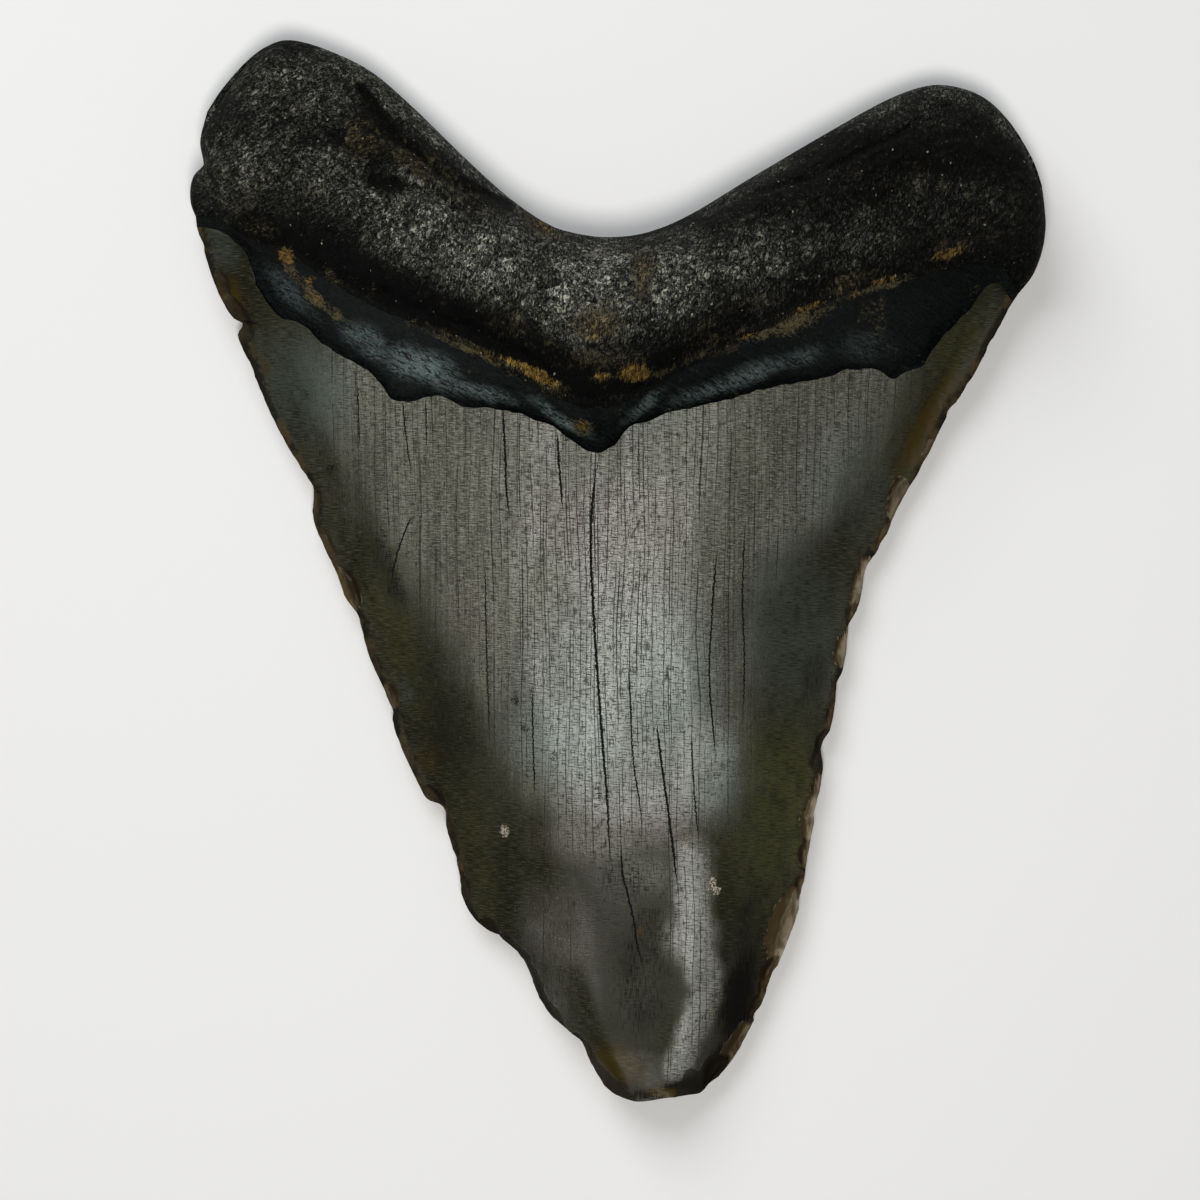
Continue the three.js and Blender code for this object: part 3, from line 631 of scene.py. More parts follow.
def root_top_height(u, w):
    p = root_place(u, w)
    edge = root_edge_height(u, w)
    crest = mix(LOBE_HEIGHT, TORUS_HEIGHT, bump(u, 0.5, TORUS_SPREAD))
    past_crest = np.clip((w - CREST_FALL["begins"]) / (1 - CREST_FALL["begins"]), 0, 1)
    fall = 1 - CREST_FALL["share"] * past_crest ** CREST_FALL["power"]
    rounding = root_rounding(u, w)
    body = mix(edge, crest * fall, rounding)
    start = mix(crease_height(u), edge, smooth(0, 1, w))
    relief = root_relief(p, u, w)
    off_sides = smooth(0, 0.1, np.minimum(u, 1 - u))
    rim = BORDER_RIM["height"] * bump(w, BORDER_RIM["at"], BORDER_RIM["width"]) * off_sides
    share = smooth(-0.04, TORUS_TOP, w) * smooth(0, 0.02, w)
    height = mix(start, body, share) + relief * rounding * smooth(0, 0.12, w) + rim
    return on_outline(height, edge, w == 1), {"zone": 2.0}


# Underside

def crown_under(u, v):
    edge = crown_edge_height(v)
    side = np.abs(sideways(crown_place(u, v)))
    toward_edge = np.clip((side - FLAT_REACH) / (1 - FLAT_REACH), 0, 1) ** 1.4
    return edge * np.maximum(toward_edge, 1 - smooth(0, FLAT_START, v))


def neck_under(u, w):
    return crown_under(u, 1)


def root_under(u, w):
    past_border = w - LABIAL_ARC * (1 - (2 * u - 1) ** 2)
    fading = 1 - smooth(LABIAL_STEP_WIDTH, LABIAL_STEP_FADE, past_border)
    step = LABIAL_STEP * smooth(-LABIAL_STEP_WIDTH, 0, past_border) * fading
    behind_step = smooth(0, LABIAL_STEP_FADE, past_border)
    neck = NECK_HOLLOW["depth"] * bump(u, 0.5, NECK_HOLLOW["spread"]) * behind_step
    shoulder = crown_under(u, 1) * (1 - smooth(0, 0.5, w))
    rounding = root_rounding(u, w)
    round_part = root_edge_height(u, w) * (1 - rounding)
    p = root_place(u, w)
    pits = 0.35 * np.clip(rough(p[:, 0] / 2.2, p[:, 1] / 2.2, 3, 81), 0, 2)
    pits = pits * smooth(0, 0.1, past_border) * rounding
    return np.maximum(shoulder, round_part) + step * rounding + neck + pits


def under_zone(u, v, kind):
    if kind != "root":
        return np.zeros(len(u))
    return 2 * smooth(-0.01, 0.01, v - LABIAL_ARC * (1 - (2 * u - 1) ** 2))


BANDS = ("crown", "bourlette", "root")
KINDS = {
    "crown": {"place": crown_place, "top": crown_top, "under": crown_under},
    "bourlette": {"place": bourlette_place, "top": bourlette_top, "under": neck_under},
    "root": {"place": root_place, "top": root_top_height, "under": root_under},
}


def tooth_rows():
    rows = [("crown", v) for v in TIP_ROWS]
    rows += [("crown", mix(TIP_ROWS[-1], 1, i / CROWN_ROWS)) for i in range(1, CROWN_ROWS + 1)]
    rows += [("bourlette", i / BOURLETTE_ROWS) for i in range(1, BOURLETTE_ROWS + 1)]
    rows += [("root", 1 - (1 - i / ROOT_ROWS) ** ROOT_ROW_CROWDING) for i in range(1, ROOT_ROWS + 1)]
    return rows


def join_rows(lower, upper, face_up, lower_is_outline=False):
    """Triangles between two rows of (share, vertex) pairs, with no triangle on the outline alone."""
    triangles = []
    i = 0
    j = 0
    while i < len(lower) - 1 or j < len(upper) - 1:
        next_lower = lower[i + 1][0] if i < len(lower) - 1 else math.inf
        next_upper = upper[j + 1][0] if j < len(upper) - 1 else math.inf
        tie_goes_lower = (next_lower < 0.5) != lower_is_outline
        step_lower = tie_goes_lower if next_lower == next_upper else next_lower < next_upper
        corner = lower[i + 1][1] if step_lower else upper[j + 1][1]
        triangle = (lower[i][1], corner, upper[j][1])
        triangles.append(triangle if face_up else triangle[::-1])
        if step_lower:
            i += 1
        else:
            j += 1
    return triangles


class ToothMesh:
    """Vertices of the fine tooth, and their fields. The band is a place in BANDS."""

    FIELDS = ("zone", "lost", "fresh", "rim", "labial", "band")

    def __init__(self):
        self.points = []
        self.values = {name: [] for name in self.FIELDS}
        self.count = 0

    def add_row(self, shares, p, heights, **fields):
        self.points.append(np.column_stack([p, heights]))
        fields["rim"] = np.minimum(shares, 1 - shares) * np.linalg.norm(p[-1] - p[0])
        for name in self.FIELDS:
            self.values[name].append(np.broadcast_to(fields.get(name, 0.0), len(shares)))
        row = [(share, self.count + i) for i, share in enumerate(shares.tolist())]
        self.count += len(shares)
        return row

    def build(self):
        """Adds every vertex, and returns the triangles."""
        rows = tooth_rows()
        top_rows = []
        under_rows = []
        for number, (kind, v) in enumerate(rows):
            shape = KINDS[kind]
            widening = float(smooth(0, 0.55, number / len(rows)))
            columns = int(round(mix(TIP_COLUMNS, BASE_COLUMNS, widening)))
            u = np.linspace(0, 1, columns + 1)
            heights, fields = shape["top"](u, v)
            band = BANDS.index(kind)
            row = self.add_row(u, shape["place"](u, v), heights, band=band, **fields)
            top_rows.append(row)
            if number in (0, len(rows) - 1):
                under_rows.append(row)
                continue
            # An even number of steps puts a vertex on the middle line, where the rows bend by the bourlette
            steps = 2 * int(columns * UNDER_SHARE / 2)
            inner = 0.5 - 0.5 * np.cos(math.pi * np.linspace(0, 1, steps + 1)[1:-1])
            zone = under_zone(inner, v, kind)
            heights = shape["under"](inner, v)
            fields = {"zone": zone, "labial": 1.0, "band": 2 * (kind == "root")}
            under = self.add_row(inner, shape["place"](inner, v), heights, **fields)
            under_rows.append([row[0]] + under + [row[-1]])
        triangles = []
        for i in range(1, len(rows)):
            triangles += join_rows(top_rows[i - 1], top_rows[i], True, i == 1)
            triangles += join_rows(under_rows[i - 1], under_rows[i], False, i == 1)
        return triangles

    def fields(self):
        return {name: np.concatenate(rows) for name, rows in self.values.items()}


# Where the colours lie: shares from 0 to 1 over the tooth, from its plan

def patches(q, items):
    """The strongest of some soft elliptical patches at each plan point."""
    total = np.zeros(len(q))
    for x, y, reach_x, reach_y, turn, strength in items:
        angle = math.radians(turn)
        dx = q[:, 0] - x
        dy = q[:, 1] - y
        across = (dx * math.cos(angle) + dy * math.sin(angle)) / reach_x
        along = (dy * math.cos(angle) - dx * math.sin(angle)) / reach_y
        total = np.maximum(total, strength * (1 - smooth(0.2, 1.5, np.hypot(across, along))))
    return total


def strips(p, items):
    total = np.zeros(len(p))
    for points, half_width, strength in items:
        reach = half_width * PLAN_SCALE
        distance = distance_to_path(p, points)
        total = np.maximum(total, strength * (1 - smooth(0.5 * reach, 1.5 * reach, distance)))
    return total


# Share of the pale middle: the enamel's lighter tone with painted light, and painted highlight on the ridge
def pale_and_lit_share(q, strayed):
    left, right = (np.interp(q[:, 1], *np.array(side).T[::-1]) for side in (PALE_LEFT, PALE_RIGHT))
    inside = smooth(-65, 65, q[:, 0] - left) * smooth(-60, 60, right - q[:, 0])
    body = inside * (1 - smooth(*PALE_END, q[:, 1]))
    return np.maximum.reduce([body, patches(q, PALE_AND_HIGHLIGHT_PATCHES), strips(strayed, RIDGE_HIGHLIGHT_STRIPS)])


def colour_shares(points, fields):
    p = points[:, :2]
    plan_x = PLAN_MIDDLE_X + p[:, 0] / PLAN_SCALE
    plan_y = PLAN_MIDDLE_Y - p[:, 1] / PLAN_SCALE
    wander = np.stack([rough(p[:, 0] / 3, p[:, 1] / 3, 3, seed) for seed in (90, 95)], axis=-1)
    q = np.stack([plan_x, plan_y], axis=-1) + 3.0 * wander
    strayed = p + 0.3 * wander
    lingual = 1 - fields["labial"]
    grey = np.maximum(patches(q, GREY_AND_LIT_CREST_PATCHES), strips(strayed, PAINTED_BEVEL_HIGHLIGHT_STRIPS))
    shade = strips(strayed, PAINTED_SHADE_STRIPS)
    broken = 0.7 + 0.75 * noise(p[:, 0] / 2.4, p[:, 1] / 2.4, 97)
    tan = np.maximum(patches(q, TAN_PATCHES), np.clip(strips(strayed, TAN_STRIPS) * broken, 0, 1))
    crown = {
        # The pale share is partly painted light, the blue partly and the light wholly a painted highlight
        "pale": pale_and_lit_share(q, strayed) * lingual + 0.35 * fields["labial"],
        "blue": patches(q, BLUE_AND_HIGHLIGHT_PATCHES) * lingual,
        "olive": patches(q, OLIVE_PATCHES) * lingual,
        "amber": patches(q, AMBER_PATCHES) * lingual,
        "rose": patches(q, ROSE_PATCHES) * lingual,
        "light": np.maximum(patches(q, CROWN_PAINTED_HIGHLIGHTS), strips(strayed, CROWN_PAINTED_HIGHLIGHT_STRIPS)) * lingual,
    }
    # The grey is partly painted light on the crest and bevels, the shade is painted shade with, on the
    # crown, the tip's dark fracture, and the bourlette's sheen is painted
    root = {
        "grey": grey * (1 - shade) * lingual + 0.4 * fields["labial"],
        "shade": np.where(fields["band"] == 0, patches(q, CROWN_SHADES), shade) * lingual,
        "tan": tan * lingual,
        "painted_sheen": patches(q, BOURLETTE_PAINTED_SHEEN) * lingual,
        "gold": patches(q, GOLD_PATCHES) * lingual,
    }
    return {**crown, **root}


def make_tooth():
    shape = ToothMesh()
    triangles = shape.build()
    points = np.vstack(shape.points)
    fields = shape.fields()
    fields.update(colour_shares(points, fields))
    low = np.array(BOX_LOW) / MM
    high = np.array(BOX_HIGH) / MM
    mesh = bpy.data.meshes.new("fossil_tooth")
    mesh.from_pydata((np.clip(points, low, high) * MM).tolist(), [], triangles)
    for name, values in fields.items():
        layer = mesh.attributes.new(name, "FLOAT", "POINT")
        layer.data.foreach_set("value", values.astype(np.float32))
    for material in (enamel_material(), bourlette_material(), bone_material()):
        mesh.materials.append(material)
    bands = fields["band"][np.array(triangles)].max(axis=1)
    mesh.polygons.foreach_set("material_index", bands.astype(np.int32))
    mesh.shade_smooth()
    mesh.set_sharp_from_angle(angle=math.radians(SHARP_ANGLE))
    tooth = bpy.data.objects.new("fossil_tooth", mesh)
    bpy.context.scene.collection.objects.link(tooth)
    return tooth


# Materials

class Nodes:
    """Short names for the shader nodes that the materials use."""

    def __init__(self, material):
        material.use_nodes = True
        self.tree = material.node_tree
        self.tree.nodes.clear()

    def add(self, kind, **values):
        node = self.tree.nodes.new(kind)
        for name, value in values.items():
            setattr(node, name, value)
        return node

    def feed(self, socket, value):
        if isinstance(value, bpy.types.NodeSocket):
            self.tree.links.new(value, socket)
        elif isinstance(value, tuple) and len(value) == 3 and socket.type == "RGBA":
            socket.default_value = (*value, 1)
        else:
            socket.default_value = value

    def math(self, operation, a, b=0.0, clamp=False):
        node = self.add("ShaderNodeMath", operation=operation, use_clamp=clamp)
        self.feed(node.inputs[0], a)
        self.feed(node.inputs[1], b)
        return node.outputs[0]

    def total(self, *values):
        result = values[0]
        for value in values[1:]:
            result = self.math("ADD", result, value)
        return result

    def product(self, *values):
        result = values[0]
        for value in values[1:]:
            result = self.math("MULTIPLY", result, value)
        return result

    def rest(self, value):
        return self.math("SUBTRACT", 1.0, value)

    def span(self, value, low, high, to_low=0.0, to_high=1.0):
        node = self.add("ShaderNodeMapRange", interpolation_type="SMOOTHSTEP")
        for name, item in (("Value", value), ("From Min", low), ("From Max", high),
                           ("To Min", to_low), ("To Max", to_high)):
            self.feed(node.inputs[name], item)
        return node.outputs[0]

    def colour(self, share, a, b, blend="MIX"):
        node = self.add("ShaderNodeMix", data_type="RGBA", blend_type=blend, clamp_factor=True)
        self.feed(node.inputs[0], share)
        self.feed(node.inputs[6], a)
        self.feed(node.inputs[7], b)
        return node.outputs[2]

    def number(self, share, a, b):
        node = self.add("ShaderNodeMix", data_type="FLOAT", clamp_factor=True)
        self.feed(node.inputs[0], share)
        self.feed(node.inputs[2], a)
        self.feed(node.inputs[3], b)
        return node.outputs[0]

    def field(self, name):
        node = self.add("ShaderNodeAttribute", attribute_name=name, attribute_type="GEOMETRY")
        return node.outputs["Fac"]

    def vector(self, operation, a, b=None, scale=None):
        node = self.add("ShaderNodeVectorMath", operation=operation)
        self.feed(node.inputs[0], a)
        if b is not None:
            self.feed(node.inputs[1], b)
        if scale is not None:
            self.feed(node.inputs["Scale"], scale)
        return node.outputs[0]

    def place(self):
        """The place on the tooth in millimetres."""
        return self.vector("SCALE", self.add("ShaderNodeTexCoord").outputs["Object"], scale=1 / MM)

    def stretched(self, place, size, turn=0.0):
        """The place divided by a size along each axis, after a turn about Z in degrees."""
        spin = self.add("ShaderNodeVectorRotate", rotation_type="Z_AXIS")
        self.feed(spin.inputs["Vector"], place)
        self.feed(spin.inputs["Angle"], math.radians(turn))
        return self.vector("DIVIDE", spin.outputs[0], size)

    def noise(self, place, detail=3.0, roughness=0.55, distortion=0.0):
        node = self.add("ShaderNodeTexNoise")
        self.feed(node.inputs["Vector"], place)
        for name, item in (("Scale", 1.0), ("Detail", detail), ("Roughness", roughness),
                           ("Distortion", distortion)):
            self.feed(node.inputs[name], item)
        return node.outputs["Fac"]

    def near(self, point, reach):
        """The distance from a plan point over the reach in millimetres, along an uneven outline."""
        offset = self.vector("SUBTRACT", self.flat, (*place(point), 0))
        distance = self.add("ShaderNodeVectorMath", operation="LENGTH")
        self.feed(distance.inputs[0], offset)
        share = self.math("DIVIDE", distance.outputs["Value"], reach)
        return self.total(share, self.product(self.uneven, 2.2))

    def cells(self, place, feature="F1"):
        node = self.add("ShaderNodeTexVoronoi", feature=feature)
        self.feed(node.inputs["Vector"], place)
        self.feed(node.inputs["Scale"], 1.0)
        return node.outputs["Distance"]

    def lines(self, across, spacing, half_width):
        """Thin lines at uneven distances: 1 on a line, 0 beside it."""
        node = self.add("ShaderNodeTexVoronoi", voronoi_dimensions="1D", feature="DISTANCE_TO_EDGE")
        self.feed(node.inputs["W"], across)
        self.feed(node.inputs["Scale"], 1 / spacing)
        return self.span(node.outputs["Distance"], half_width / spacing, 0.2 * half_width / spacing)

    def crack(self, x, y, points, half_width):
        """1 on a crack that runs down through the points, and 0 beside it."""
        path = np.array([place(point) for point in points])
        path = path[np.argsort(path[:, 1])]
        low, high = path[0, 1], path[-1, 1]
        left = path[:, 0].min() - 1
        width = path[:, 0].max() + 1 - left
        share = self.math("DIVIDE", self.math("SUBTRACT", y, low), high - low)
        node = self.add("ShaderNodeFloatCurve")
        self.feed(node.inputs["Value"], share)
        curve = node.mapping.curves[0]
        for number, (at_x, at_y) in enumerate(path):
            spot = ((at_y - low) / (high - low), (at_x - left) / width)
            if number < 2:
                curve.points[number].location = spot
            else:
                curve.points.new(*spot)
        node.mapping.update()
        course = self.math("ADD", self.math("MULTIPLY", node.outputs[0], width), left)
        taper = self.product(self.span(share, 0.0, 0.25), self.span(share, 1.0, 0.85))
        reach = self.math("MAXIMUM", self.math("MULTIPLY", taper, half_width), 0.001)
        offset = self.math("DIVIDE", self.math("ABSOLUTE", self.math("SUBTRACT", x, course)), reach)
        return self.product(self.span(offset, 1.15, 0.75), self.span(taper, 0.0, 0.1))

    def centred(self, value):
        return self.math("SUBTRACT", value, 0.5)

    def layers(self, colour, *coats):
        """The colour under some coats, each a share and a tone."""
        for share, tone in coats:
            colour = self.colour(share, colour, tone)
        return colour


class Surface(Nodes):
    """The nodes of one of the tooth's materials, with the place in millimetres split into parts."""

    def __init__(self, name):
        self.material = bpy.data.materials.new(name)
        super().__init__(self.material)
        self.p = self.place()
        self.flat = self.vector("MULTIPLY", self.p, (1, 1, 0))
        split = self.add("ShaderNodeSeparateXYZ")
        self.feed(split.inputs[0], self.p)
        self.x, self.y = split.outputs[0], split.outputs[1]
        self.patchy = self.solid_noise((2.2, 3.0, 2.2), 4, 0.6)
        self.uneven = self.centred(self.solid_noise((0.5, 0.5, 0.5), 3))

    def solid_noise(self, size, *options, turn=0.0):
        return self.noise(self.stretched(self.p, size, turn), *options)

    def flat_noise(self, width, length, *options, turn=0.0):
        """Noise that is the same at every height."""
        return self.noise(self.stretched(self.flat, (width, length, 1), turn), *options)

    def diagonals(self, turn, spacing):
        """Thin lines that lean from the vertical by the turn in degrees."""
        angle = math.radians(turn)
        across = self.total(self.product(self.x, math.cos(angle)), self.product(self.y, math.sin(angle)))
        return self.lines(across, spacing, SCRATCH_HALF_WIDTH)

    def ochre(self, tone):
        """The share and the tone of the ochre stains, from the grain of the material."""
        stray = (self.product(self.centred(tone), 2.4), self.product(self.centred(self.patchy), 1.5))
        share = self.product(self.span(self.total(self.field("tan"), *stray), 0.25, 0.85), 0.92)
        strong = self.span(self.field("tan"), 0.75, 1.0)
        light = self.colour(strong, (0.120, 0.102, 0.055), (0.24, 0.165, 0.05))
        return share, self.colour(self.span(tone, 0.54, 0.42, 0, 0.85), light, (0.018, 0.012, 0.005))

    def gold(self, tone, dull, bright):
        """The share and the tone of the brightest stains."""
        share = self.span(self.total(self.field("gold"), self.product(self.centred(tone), 2.0)), 0.35, 0.7)
        return self.product(share, 0.9), self.colour(self.span(tone, 0.42, 0.6), dull, bright)

    def finish(self, colour, height, shine, specular):
        """Ends the material. The height is its relief in millimetres."""
        raised = self.add("ShaderNodeBump")
        self.feed(raised.inputs["Height"], height)
        raised.inputs["Distance"].default_value = MM
        shader = self.add("ShaderNodeBsdfPrincipled")
        self.feed(shader.inputs["Base Color"], colour)
        self.feed(shader.inputs["Roughness"], shine)
        self.feed(shader.inputs["Normal"], raised.outputs[0])
        shader.inputs["IOR"].default_value = 1.5
        shader.inputs["Specular IOR Level"].default_value = specular
        output = self.add("ShaderNodeOutputMaterial")
        self.feed(output.inputs["Surface"], shader.outputs[0])
        return self.material


# Small marks on the enamel, each a place in the plan and a reach in millimetres
PALE_SPOTS = [((505, 830), 0.62), ((712, 879), 0.5), ((716, 888), 0.5), ((708, 886), 0.32)]
DARK_SMUDGES = [
    ((517, 698), 0.62), ((526, 727), 0.5), ((554, 755), 0.5), ((210, 246), 0.7), ((330, 468), 0.5),
]
SCRATCH_HALF_WIDTH = 0.05


def enamel_material():
    """The crown: a crackled pale middle with painted light and painted highlights, smooth dark flanks partly
    in painted shade, stained edges and chips.
    """
    n = Surface("fossil_enamel")
    lingual = n.rest(n.field("labial"))
    # The light field is a painted highlight, the pale field partly painted light, the blue field partly a
    # painted highlight
    pale_and_lit_field, blue, lit = n.field("pale"), n.field("blue"), n.field("light")
    broad = n.solid_noise((9, 14, 9), 3)
    vertical = n.flat_noise(0.15, 1.3, 3, 0.6)
    level = n.flat_noise(1.0, 0.12, 3, 0.6, turn=4)
    fine = n.solid_noise((0.2, 0.2, 0.2), 2)

    # Hairlines run down the pale middle, each at its own length
    sway = n.centred(n.flat_noise(6, 24, 1))
    jitter = n.centred(n.flat_noise(1.2, 1.0, 2))
    across = n.total(n.x, n.product(sway, 1.8), n.product(jitter, 0.16))
    hair_gate = n.span(n.flat_noise(0.9, 10, 2), 0.36, 0.56)
    bold_gate = n.span(n.flat_noise(3.0, 15, 1), 0.42, 0.54)
    hair = n.product(n.lines(across, 0.85, 0.065), hair_gate, n.span(pale_and_lit_field, 0.3, 0.8))
    bold = n.lines(n.math("ADD", across, 31.7), 2.9, 0.075)
    bold = n.product(bold, bold_gate, n.span(pale_and_lit_field, 0.12, 0.5))
    lines = n.product(n.math("MAXIMUM", n.product(hair, 0.6), n.product(bold, 0.8)), lingual)
    crack = 0.0
    jogs = n.centred(n.flat_noise(0.9, 0.45, 3, 0.7))
    swayed = n.total(n.x, n.product(jogs, 0.5))
    for points, half_width in LONG_CRACKS:
        crack = n.math("MAXIMUM", crack, n.crack(swayed, n.y, points, half_width))
    crack = n.product(crack, lingual)

    # Pale enamel, partly painted light, gives way in fine strokes to the flanks, whose darkness is partly
    # painted shade
    strokes = n.centred(n.product(n.total(level, vertical), 0.5))
    clouds = n.centred(n.patchy)
    ragged = n.total(n.product(strokes, 1.5), n.product(clouds, 0.25), n.product(n.centred(broad), 0.5))
    pale = n.span(n.total(pale_and_lit_field, ragged), 0.02, 0.98)
    flank = n.layers(
        n.colour(n.span(broad, 0.35, 0.65), (0.019, 0.017, 0.007), (0.032, 0.030, 0.015)),
        (n.product(n.field("olive"), 0.9), (0.066, 0.066, 0.026)),
        (n.product(blue, 0.85), (0.056, 0.068, 0.054)),
        (n.span(n.patchy, 0.42, 0.68, 0, 0.4), (0.012, 0.012, 0.007)),
        (n.span(level, 0.5, 0.66, 0, 0.5), (0.085, 0.083, 0.056)),
        (n.span(level, 0.48, 0.36, 0, 0.6), (0.010, 0.010, 0.006)))
    streaks = n.flat_noise(0.55, 18, 3, 0.7)
    # Painted highlight on the crown's middle and ridge, broken up by fine strokes
    light = n.product(lit, n.span(ragged, -0.3, 0.2, 0.3, 1.0))
    mottle = n.product(n.span(n.patchy, 0.50, 0.62), lit)
    flecks = n.span(n.cells(n.stretched(n.p, (0.55, 0.8, 0.55), 20)), 0.30, 0.18)
    flecks = n.product(flecks, n.span(n.patchy, 0.44, 0.56), lit)
    crackle = n.math("MAXIMUM", n.span(level, 0.52, 0.62), n.span(vertical, 0.53, 0.64))
    crackle = n.math("MAXIMUM", crackle, flecks)
    # Painted glints of light inside the painted highlight
    painted_glints = n.math("MAXIMUM", n.span(level, 0.46, 0.36), n.span(fine, 0.55, 0.72))
    centre = n.layers(
        n.colour(n.span(broad, 0.35, 0.65), (0.115, 0.110, 0.084), (0.165, 0.160, 0.124)),
        (n.span(streaks, 0.40, 0.62, 0, 0.5), (0.085, 0.080, 0.060)),
        (n.span(streaks, 0.56, 0.38, 0, 0.4), (0.215, 0.212, 0.172)),
        # Blue tint, and in the middle a painted bluish highlight
        (n.product(blue, 0.85), (0.200, 0.250, 0.230)),
        (n.product(n.field("rose"), 0.8), (0.130, 0.108, 0.085)),
        (n.product(light, 0.9), (0.340, 0.345, 0.318)),
        (n.product(mottle, 0.5), (0.075, 0.080, 0.060)),
        (n.product(crackle, 0.82), (0.030, 0.030, 0.022)),
        (n.product(painted_glints, n.span(lit, 0, 1, 0.5, 0.8)), (0.36, 0.372, 0.335)))

    # Painted shade with the tip's dark fracture, scratches, brown and amber stains, a worn rim, lines and
    # cracks
    shade = n.span(n.total(n.field("shade"), n.product(ragged, 1.5)), 0.2, 0.85)
    scratch = n.math(
        "MAXIMUM",
        n.product(n.diagonals(58, 7.0), n.span(n.flat_noise(9, 9, 2), 0.52, 0.6)),
        n.product(n.diagonals(-35, 11.0), n.span(n.flat_noise(7, 8, 2, turn=40), 0.54, 0.6)))
    stain = n.span(n.total(n.field("amber"), n.product(clouds, 1.0)), 0.12, 0.9)
    rim = n.span(n.total(n.field("rim"), n.product(n.uneven, 2.5)), 1.1, 0.5)
    rim_tone = n.colour(n.span(n.patchy, 0.45, 0.62), (0.006, 0.005, 0.003), (0.060, 0.044, 0.018))
    colour = n.layers(
        n.colour(pale, flank, centre),
        # Painted shade, and the tip's dark fracture
        (n.product(shade, 0.92), (0.0025, 0.002, 0.0015)),
        (n.product(scratch, 0.6), (0.014, 0.013, 0.010)),
        (n.product(stain, 0.85), (0.052, 0.034, 0.005)),
        (n.product(rim, 0.85), rim_tone),
        (lines, (0.008, 0.007, 0.005)),
        (n.product(crack, 0.96), (0.003, 0.003, 0.002)))

    # Broken faces, from dark old ones to fresh tan ones with a pale lip, and small marks
    lost, fresh = n.field("lost"), n.field("fresh")
    facets = n.solid_noise((1.3, 2.6, 1.3), 3, 0.55, 0.8)
    broken = n.span(n.total(lost, n.product(n.centred(facets), 0.4)), 0.05, 0.12)
    outer = n.span(n.total(n.product(n.field("rim"), -0.5), n.product(facets, 1.8)), 0.25, 0.95)
    worn = n.colour(facets, (0.004, 0.003, 0.002), (0.030, 0.024, 0.012))
    old = n.colour(outer, (0.022, 0.014, 0.005), (0.075, 0.052, 0.020))
    new = n.colour(outer, (0.085, 0.062, 0.030), (0.230, 0.195, 0.140))
    face = n.colour(n.span(fresh, 0.0, 0.5), worn, n.colour(n.span(fresh, 0.45, 1.0), old, new))
    colour = n.colour(n.product(broken, n.span(fresh, 0, 0.5, 0.7, 1)), colour, face)
    spot_tone = n.colour(n.span(fine, 0.4, 0.6), (0.09, 0.075, 0.04), (0.42, 0.40, 0.34))
    for point, reach in PALE_SPOTS:
        colour = n.colour(n.product(n.span(n.near(point, reach), 1.05, 0.85), 0.95), colour, spot_tone)
    for point, reach in DARK_SMUDGES:
        smudge = n.product(n.span(n.near(point, reach), 1.3, 0.6), n.span(fine, 0.44, 0.54))
        colour = n.colour(n.product(smudge, 0.9, lingual), colour, (0.006, 0.006, 0.005))
    lip = n.product(n.span(lost, 0.01, 0.05), n.span(lost, 0.14, 0.05))
    colour = n.colour(n.product(lip, n.span(fresh, 0.1, 0.9), 0.6), colour, (0.32, 0.28, 0.20))

    height = n.total(
        n.product(fine, 0.004), n.product(level, n.number(pale, 0.006, 0.013)),
        n.product(vertical, pale, 0.010), n.product(lines, -0.03), n.product(crack, -0.15),
        n.product(n.patchy, 0.03))
    shine = n.number(pale, n.span(level, 0.35, 0.65, 0.34, 0.46), n.span(crackle, 0.0, 1.0, 0.28, 0.6))
    shine = n.number(shade, n.total(shine, n.span(broad, 0.4, 0.62, -0.04, 0.10)), 0.9)
    shine = n.number(n.math("MAXIMUM", crack, n.product(lines, 0.8)), shine, 0.9)
    shine = n.number(n.span(n.field("rim"), 1.3, 0.5), shine, 0.75)
    shine = n.number(broken, shine, n.span(fresh, 0.0, 0.6, 0.8, 0.45))
    return n.finish(colour, height, shine, specular=0.24)


def bourlette_material():
    """The band between enamel and root: dark, smooth and blue-grey, with fine flow lines and a painted
    sheen.
    """
    n = Surface("fossil_bourlette")
    painted_sheen = n.field("painted_sheen")
    flow = n.flat_noise(1.2, 0.3, 5, 0.7, 1.2, turn=28)
    fine = n.solid_noise((0.3, 0.3, 0.3), 3, 0.65)
    tone = n.product(n.total(flow, fine), 0.5)
    colour = n.layers(
        n.colour(n.span(tone, 0.4, 0.62), (0.0015, 0.002, 0.002), (0.010, 0.013, 0.013)),
        # Painted sheen: light blue-grey streaks and flecks
        (n.product(painted_sheen, n.span(flow, 0.42, 0.56, 0.12, 1)), (0.165, 0.215, 0.205)),
        (n.product(painted_sheen, n.span(fine, 0.57, 0.66), 0.8), (0.30, 0.36, 0.36)),
        n.ochre(tone),
        # Painted shade
        (n.product(n.field("shade"), 0.85), (0.002, 0.002, 0.002)),
        n.gold(tone, (0.06, 0.03, 0.006), (0.24, 0.155, 0.045)))
    height = n.total(n.product(flow, 0.28), n.product(fine, 0.09))
    return n.finish(colour, height, n.span(tone, 0.4, 0.6, 0.34, 0.52), specular=0.18)


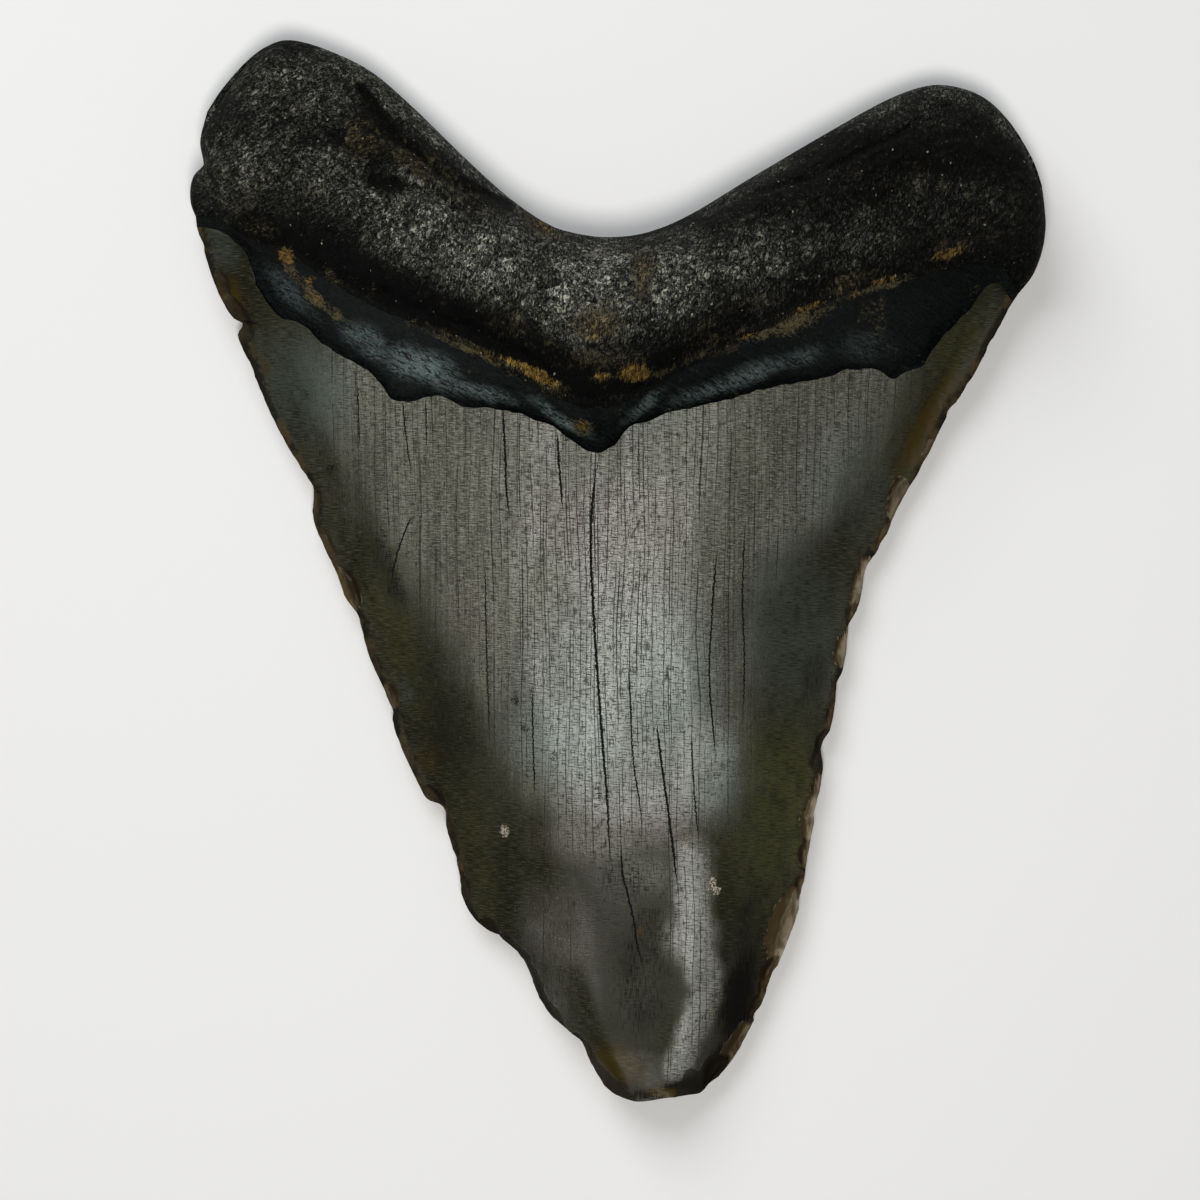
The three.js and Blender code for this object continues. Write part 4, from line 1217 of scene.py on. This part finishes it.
def bone_material():
    """The root: black porous bone, speckled grey, with ochre stains and specks of grit, painted light on its
    crest, painted glints and painted shade.
    """
    n = Surface("fossil_bone")
    wrinkle = n.solid_noise((0.62, 0.95, 0.62), 3, 0.6, 0.7, turn=14)
    fold = n.solid_noise((1.9, 1.5, 1.9), 3, 0.6, 0.6, turn=-20)
    plateau = n.span(n.math("ABSOLUTE", n.centred(wrinkle)), 0.0, 0.035)
    table = n.span(n.math("ABSOLUTE", n.centred(fold)), 0.0, 0.05)
    upright = n.flat_noise(0.17, 0.62, 3, 0.65, 0.4, turn=8)
    slanted = n.flat_noise(0.62, 0.19, 3, 0.65, 0.4, turn=-18)
    strokes = n.number(n.span(n.x, -30, -14), slanted, upright)
    tone = n.total(n.product(wrinkle, 0.4), n.product(strokes, 0.6))
    clouds = n.span(n.total(n.patchy, n.product(n.centred(fold), 0.8)), 0.30, 0.68, 0.4, 1.3)
    # The grey is partly the bone's own, partly painted light on the crest and bevels
    grey = n.product(n.field("grey"), clouds)
    wrinkled = n.vector("ADD", n.stretched(n.p, (0.75, 1.2, 0.75), 12), n.product(wrinkle, 3.2))
    leather = n.span(n.cells(wrinkled, "DISTANCE_TO_EDGE"), 0.02, 0.17)
    # The lit grey drops to black along the wrinkles and cell edges: partly the bone's dark grain, partly
    # painted shade in these creases
    relief = n.product(
        plateau, n.total(0.35, n.product(table, 0.65)), n.total(0.26, n.product(leather, 0.74)))
    lit = n.product(relief, n.span(tone, 0.39, 0.58, 0.10, 1.0), n.total(0.05, grey))
    # Painted glints on the raised grain
    painted_root_glints = n.product(n.span(tone, 0.55, 0.63), leather, n.span(fold, 0.40, 0.55))
    pores = n.span(n.cells(n.stretched(n.p, (0.9, 1.2, 0.9))), 0.22, 0.12)
    ochre_share, ochre_tone = n.ochre(tone)
    grit = n.span(n.cells(n.stretched(n.p, (0.9, 1.5, 0.9), 20)), 0.16, 0.09)
    grit = n.product(grit, n.span(n.solid_noise((1.0, 1.0, 1.0), 2), 0.54, 0.62))
    under_enamel = n.product(n.field("labial"), n.span(n.field("zone"), 1.2, 0.8))
    colour = n.layers(
        n.colour(lit, (0.0014, 0.0013, 0.0010), (0.480, 0.482, 0.405)),
        (n.product(painted_root_glints, 0.5), (0.150, 0.150, 0.125)),
        (n.product(pores, 0.9), (0.001, 0.001, 0.001)),
        # Painted shade
        (n.product(n.field("shade"), 0.85), (0.0015, 0.0015, 0.0012)),
        (n.product(ochre_share, n.total(0.3, n.product(relief, 0.7))), ochre_tone),
        n.gold(tone, (0.09, 0.05, 0.010), (0.33, 0.225, 0.065)),
        (n.product(grit, 0.9), (0.46, 0.43, 0.35)),
        (under_enamel, (0.075, 0.075, 0.058)))
    height = n.total(
        n.product(tone, 0.36), n.product(plateau, 0.09), n.product(table, 0.14), n.product(leather, 0.12),
        n.product(pores, -0.25), n.product(grit, 0.06))
    height = n.product(height, n.rest(under_enamel))
    shine = n.number(under_enamel, n.span(lit, 0.05, 0.45, 0.9, 0.30), 0.36)
    return n.finish(colour, height, shine, specular=0.2)


# Floor, light and camera

def make_floor():
    bpy.ops.mesh.primitive_plane_add(size=3, location=(0, 0, 0))
    floor = bpy.context.object
    floor.name = "floor"
    material = bpy.data.materials.new("floor")
    nodes = Nodes(material)
    shader = nodes.add("ShaderNodeBsdfPrincipled")
    shader.inputs["Base Color"].default_value = (0.8, 0.79, 0.78, 1)
    shader.inputs["Roughness"].default_value = 0.9
    output = nodes.add("ShaderNodeOutputMaterial")
    nodes.feed(output.inputs["Surface"], shader.outputs[0])
    floor.data.materials.append(material)


def make_light(name, location, target, size, watts, tint):
    data = bpy.data.lights.new(name, "AREA")
    data.shape = "DISK"
    data.size = size
    data.energy = watts
    data.color = tint
    light = bpy.data.objects.new(name, data)
    light.location = location
    light.rotation_euler = (Vector(target) - Vector(location)).to_track_quat("-Z", "Y").to_euler()
    bpy.context.scene.collection.objects.link(light)


def make_world():
    world = bpy.data.worlds.new("studio")
    bpy.context.scene.world = world
    world.use_nodes = True
    background = world.node_tree.nodes["Background"]
    background.inputs["Color"].default_value = (0.75, 0.8, 0.85, 1)
    background.inputs["Strength"].default_value = 0.16


def make_camera():
    """The camera looks straight down, with the frame as wide as the photograph's."""
    frame_pixels = 1200
    lens = 120.0
    sensor = 36.0
    frame_width = frame_pixels * PLAN_SCALE * MM
    outline_height = 0.005
    x, y = place((frame_pixels / 2, frame_pixels / 2))
    data = bpy.data.cameras.new("camera")
    data.lens = lens
    data.sensor_width = sensor
    camera = bpy.data.objects.new("camera", data)
    camera.location = (x * MM, y * MM, outline_height + frame_width * lens / sensor)
    bpy.context.scene.collection.objects.link(camera)
    bpy.context.scene.camera = camera


tooth = make_tooth()
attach(tooth, "root")
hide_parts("tooth")

make_floor()
make_world()
make_light("key", (0.0, -0.12, 0.6), (0, -0.01, 0), 0.16, 1.8, (1, 0.98, 0.95))
make_light("fill", (-0.22, 0.42, 0.46), (0, 0, 0), 0.5, 2.2, (0.95, 0.98, 1))
bpy.context.scene.view_settings.view_transform = "Standard"
bpy.context.scene.view_settings.look = "Medium High Contrast"
make_camera()
